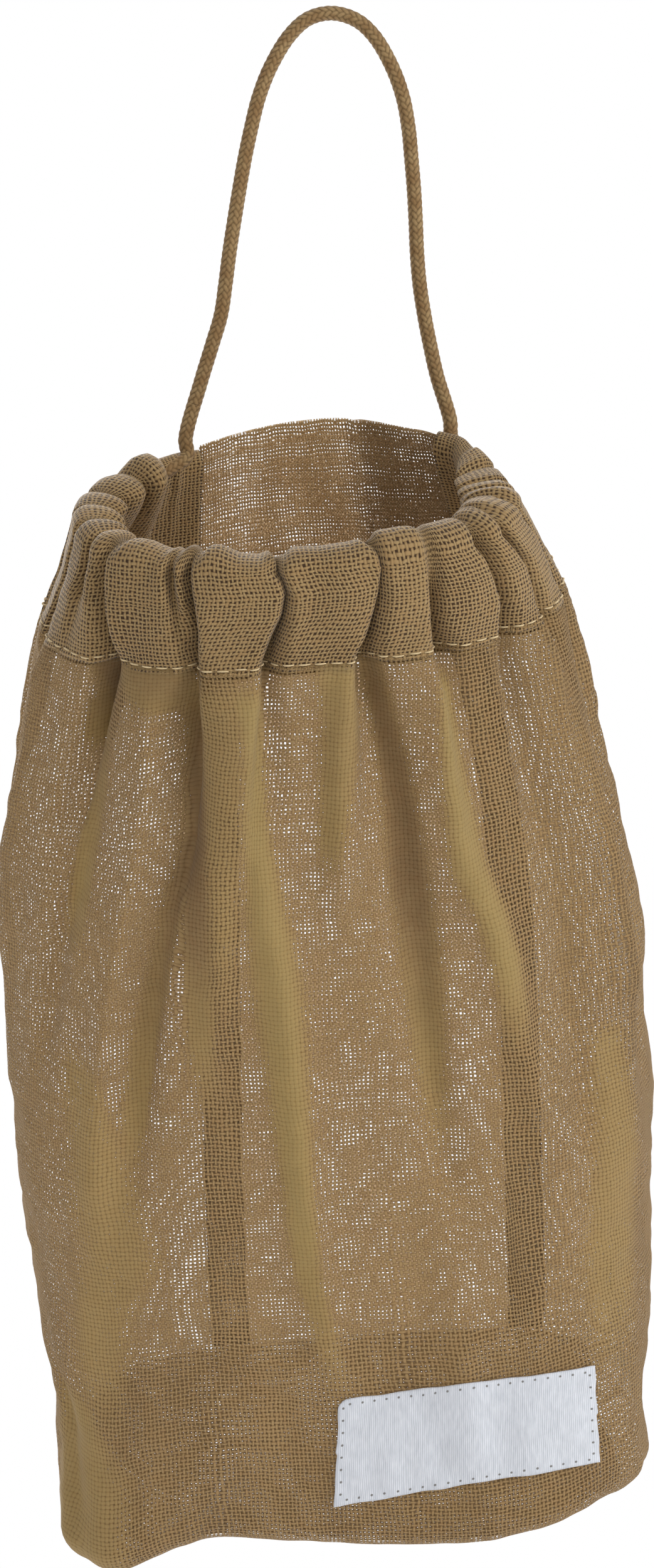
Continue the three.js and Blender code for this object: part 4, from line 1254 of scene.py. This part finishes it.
def base_grid():
    """The base, from the front's fold back to the back's, sagging between them."""
    front_edge = front_grid[-1]
    count = len(front_edge) - 1
    shares = np.linspace(0, 1, count + 1)
    rear = back_wall[-1]
    columns = (1 - shares) * (len(rear) - 1)
    rear_edge = sample_grid(rear[None].repeat(2, 0), np.zeros(count + 1), columns)
    rows = []
    for t in np.linspace(0, 1, BASE_ROWS):
        row = front_edge * (1 - t) + rear_edge * t
        row[:, 2] -= BASE_SAG * math.sin(math.pi * t) * np.sin(np.pi * shares)
        rows.append(row)
    return np.array(rows)


base = base_grid()
base_cloth = cloth_piece("base_cloth", base, base_inside_shaded, uv=base[..., :2] * MM)
# The darker weave, painted shade, goes on the inner face, and the lighter one on the face below
base_cloth.data.materials.append(base_underside)
faces_a_side = (base.shape[0] - 1) * (base.shape[1] - 1)
faces_down = grid_normals(base)[..., 2].mean() < 0
for face in base_cloth.data.polygons[:2 * faces_a_side]:
    face.material_index = int((face.index < faces_a_side) == faces_down)
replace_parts(base_cloth, "base_panel")


def seam_piece(side):
    """The allowances of a side seam, two layers turned in on the back cloth."""
    rows = []
    for depth in np.linspace(SEAM_TOP, BAG_DEPTH - BASE_FOLD, SEAM_ROWS):
        width = SEAM_ALLOWANCE / arc_at("back", depth).length
        span = (1 - width, 1) if side == "left" else (0, width)
        row, shares = back_row(depth, SEAM_COLUMNS, SEAM_INSET, span)
        rows.append(np.insert(row, 2, -depth, 1))
    outward = arc_at("back", depth).at(shares)[2]
    rows += turned_under(rows[-1], outward, BASE_FOLD - SEAM_INSET, BACK_FOLD_ROWS)
    piece = cloth_piece(f"seam_allowance_{side}", np.array(rows), seam_shaded, thickness=SEAM_CLOTH)
    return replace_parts(piece, f"seam_{side}")


seams = [seam_piece(side) for side in ("left", "right")]


# Stitches and the label
def thread_pieces(name, lines, radius, material):
    """Round threads along lines of points in the bag's frame, which thin towards their cut ends."""
    vertices, faces, uvs, count = [], [], [], 0
    for line in lines:
        line = in_row(line)
        radii = radius * lobe(np.linspace(0, 1, len(line)).clip(THREAD_TIP, 1 - THREAD_TIP), 0.3)
        rings, index, quads = tube(line, *turning_frames(line), radii[:, None], THREAD_SIDES)
        vertices.append(rings.reshape(-1, 3) * MM)
        uvs += [(s * MM, k * MM) for k in range(len(line)) for s in range(THREAD_SIDES)]
        faces += [*(quads + count).tolist(), (index[0][::-1] + count).tolist(), (index[-1] + count).tolist()]
        count += index.size
    return mesh_object(name, np.concatenate(vertices), faces, uvs, material)


def casing_stitches():
    """One row of stitches through the casing, near its lower edge."""
    normals = grid_normals(casing)
    way = way_along(casing[1])
    share_up = (OUTER_EDGE_DEPTH - STITCH_DEPTH) / (OUTER_EDGE_DEPTH - CHANNEL_DEPTH)
    lines = []
    for begin in np.arange(STITCH_MARGINS[0], way[-1] - STITCH_MARGINS[1], STITCH_PITCH):
        at = np.interp(np.linspace(begin, begin + STITCH, STITCH_POINTS), way, np.arange(len(way)))
        rows = np.full(STITCH_POINTS, share_up * (CASING_ROWS["outer"] - 1))
        rows += random.uniform(-STITCH_STRAY, STITCH_STRAY)
        points, normal = sample_grid(casing, rows, at), sample_grid(normals, rows, at)
        lift = STITCH_ARCH * np.sin(np.linspace(0, math.pi, STITCH_POINTS)) - STITCH_SINK
        lines.append(points - normal * (lift + CLOTH / 2)[:, None])
    return lines


def binding_helix():
    """The thread bound round the cord's two ends where they meet in the casing."""
    reach = round(BINDING_REACH / CORD_STEP)
    middle = np.concatenate([route[-1 - reach:-1], route[:reach]])
    places = np.linspace(0, len(middle) - 1, BINDING_TURNS * BINDING_PARTS)
    line, side, up = (
        resampled(values, np.arange(len(middle)), places) for values in (middle, *turning_frames(middle)))
    angle = np.linspace(0, 2 * math.pi * BINDING_TURNS, len(line))[:, None]
    helix = line + (np.cos(angle) * side + np.sin(angle) * up) * (CORD_RADIUS + BINDING_LIFT)
    return (helix - origin) @ axes.T


binding = thread_pieces("cord_binding", [binding_helix()], BINDING_THREAD, binding_thread)
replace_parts(binding, "cord_join")
stitches = thread_pieces("casing_stitches", casing_stitches(), STITCH_THREAD, seam_thread)


def seen_places(points):
    """Where the camera sees points of the bag, across and up from its target, in millimetres there."""
    from_target = in_row(points) - CAMERA_TARGET
    nearer = CAMERA_DISTANCE / (CAMERA_DISTANCE - from_target @ CAMERA_AWAY)
    return np.stack([from_target[..., 0] * nearer, from_target @ CAMERA_UP * nearer], -1)


def label_grid():
    """The label's grid on the front cloth, with edges that look straight from in front, and its weave's
    coordinates."""
    width, height = LABEL_SIZE
    x = np.linspace(-width / 2, width / 2, LABEL_COLUMNS)
    x, y = np.meshgrid(x, np.linspace(height / 2, -height / 2, LABEL_ROWS))
    (side_bump, *side_noise), (end_bump, *end_noise) = LABEL_BUMPS
    at_side = np.sign(x) * (np.abs(x) > width / 2 - LABEL_SIDE)
    x = x + side_bump * lattice_noise(y, y * 0, *side_noise) * at_side
    y = y + end_bump * lattice_noise(x + 40, x * 0, *end_noise)
    chamfer = np.maximum(0, (y - x) - (height / 2 + width / 2 - LABEL_CUT))
    x, y = x + chamfer / 2, y - chamfer / 2
    right, down = (x / width + 0.5)[..., None], (0.5 - y / height)[..., None]
    top_left, top_right, low_right, low_left = np.array(LABEL_CORNERS)
    wanted = (top_left * (1 - right) + top_right * right) * (1 - down)
    wanted = wanted + (low_left * (1 - right) + low_right * right) * down
    seen = seen_places(front_grid)
    by_row, by_column = np.gradient(seen, axis=0), np.gradient(seen, axis=1)
    row_at = np.full(x.shape, len(front_grid) * LABEL_START[0])
    column_at = FRONT_COLUMNS * (LABEL_START[1] + LABEL_START[2] * right[..., 0])

    def area(one, other):
        return one[..., 0] * other[..., 1] - one[..., 1] * other[..., 0]

    for _ in range(LABEL_STEPS):
        miss, row_step, column_step = (
            sample_grid(values, row_at, column_at) for values in (seen, by_row, by_column))
        miss = wanted - miss
        row_at += LABEL_DAMPING * area(miss, column_step) / area(row_step, column_step)
        column_at += LABEL_DAMPING * area(row_step, miss) / area(row_step, column_step)
    points = sample_grid(front_grid, row_at, column_at)
    normals = sample_grid(grid_normals(front_grid), row_at, column_at)
    return points + normals * LABEL_LIFT, np.stack([x, y], -1) * MM


label_points, label_uv = label_grid()
label = cloth_piece("label_tape", label_points, tape, uv=label_uv, thickness=LABEL_THICKNESS)
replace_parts(label, "label")

for piece in (front_cloth, casing_cloth, stitches, binding):
    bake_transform(piece)
for piece in (back_cloth, back_hem, base_cloth, label, *seams):
    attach(piece, "bag")


# Floor, world and lamps, in metres
FLOOR_GAP = 0.07
FLOOR_REACH = 6.0
WORLD_LIGHT = 0.48


def make_floor():
    """A wide floor, a little below the bag."""
    mesh = bpy.data.meshes.new("floor")
    corners = [(x * FLOOR_REACH, y * FLOOR_REACH, cad_box[0].z - FLOOR_GAP)
               for x, y in ((-1, -1), (1, -1), (1, 1), (-1, 1))]
    mesh.from_pydata(corners, [], [(0, 1, 2, 3)])
    mesh.materials.append(floor_material())
    placed("floor", mesh)


def floor_material():
    """White to the camera, with the lamps' light on it."""
    shader = Shader("floor")
    lit = shader.value("BsdfDiffuse", {"Color": (0.85, 0.85, 0.85, 1)})
    white = shader.value("Emission", {"Color": WHITE, "Strength": 1.0})
    seen = shader.value("LightPath", output="Is Camera Ray")
    return shader.finish(shader.value("MixShader", {0: seen, 1: lit, 2: white}))


def make_world():
    """White to the camera and in reflections, with softer light from it."""
    studio = Shader("studio", bpy.data.worlds)
    rays = studio.node("LightPath").outputs
    camera_ray, glossy_ray = (Value(studio, rays[name]) for name in ("Is Camera Ray", "Is Glossy Ray"))
    seen = camera_ray.math("MAXIMUM", glossy_ray)
    soft, white = (
        studio.value("Background", {"Color": WHITE, "Strength": strength})
        for strength in (WORLD_LIGHT, 1.0))
    mixed = studio.value("MixShader", {0: seen, 1: soft, 2: white})
    bpy.context.scene.world = studio.finish(mixed, "OutputWorld")


def make_lamp(name, place, power, size):
    """A soft square lamp that faces the bag. place is from the middle of what the camera sees."""
    data = bpy.data.lights.new(name, "AREA")
    data.energy = power
    data.size = size
    lamp = placed(name, data)
    lamp.location = CAMERA_TARGET * MM + np.array(place)
    lamp.rotation_euler = Vector(place).normalized().to_track_quat("Z", "Y").to_euler()


make_floor()
make_world()
make_lamp("key", (1.4, -0.9, 0.9), 21, 0.7)
make_lamp("fill", (-0.9, -1.4, 0.5), 3, 1.2)
make_lamp("rear", (-0.3, 1.5, 0.6), 60, 1.4)
bpy.context.scene.view_settings.view_transform = "Standard"
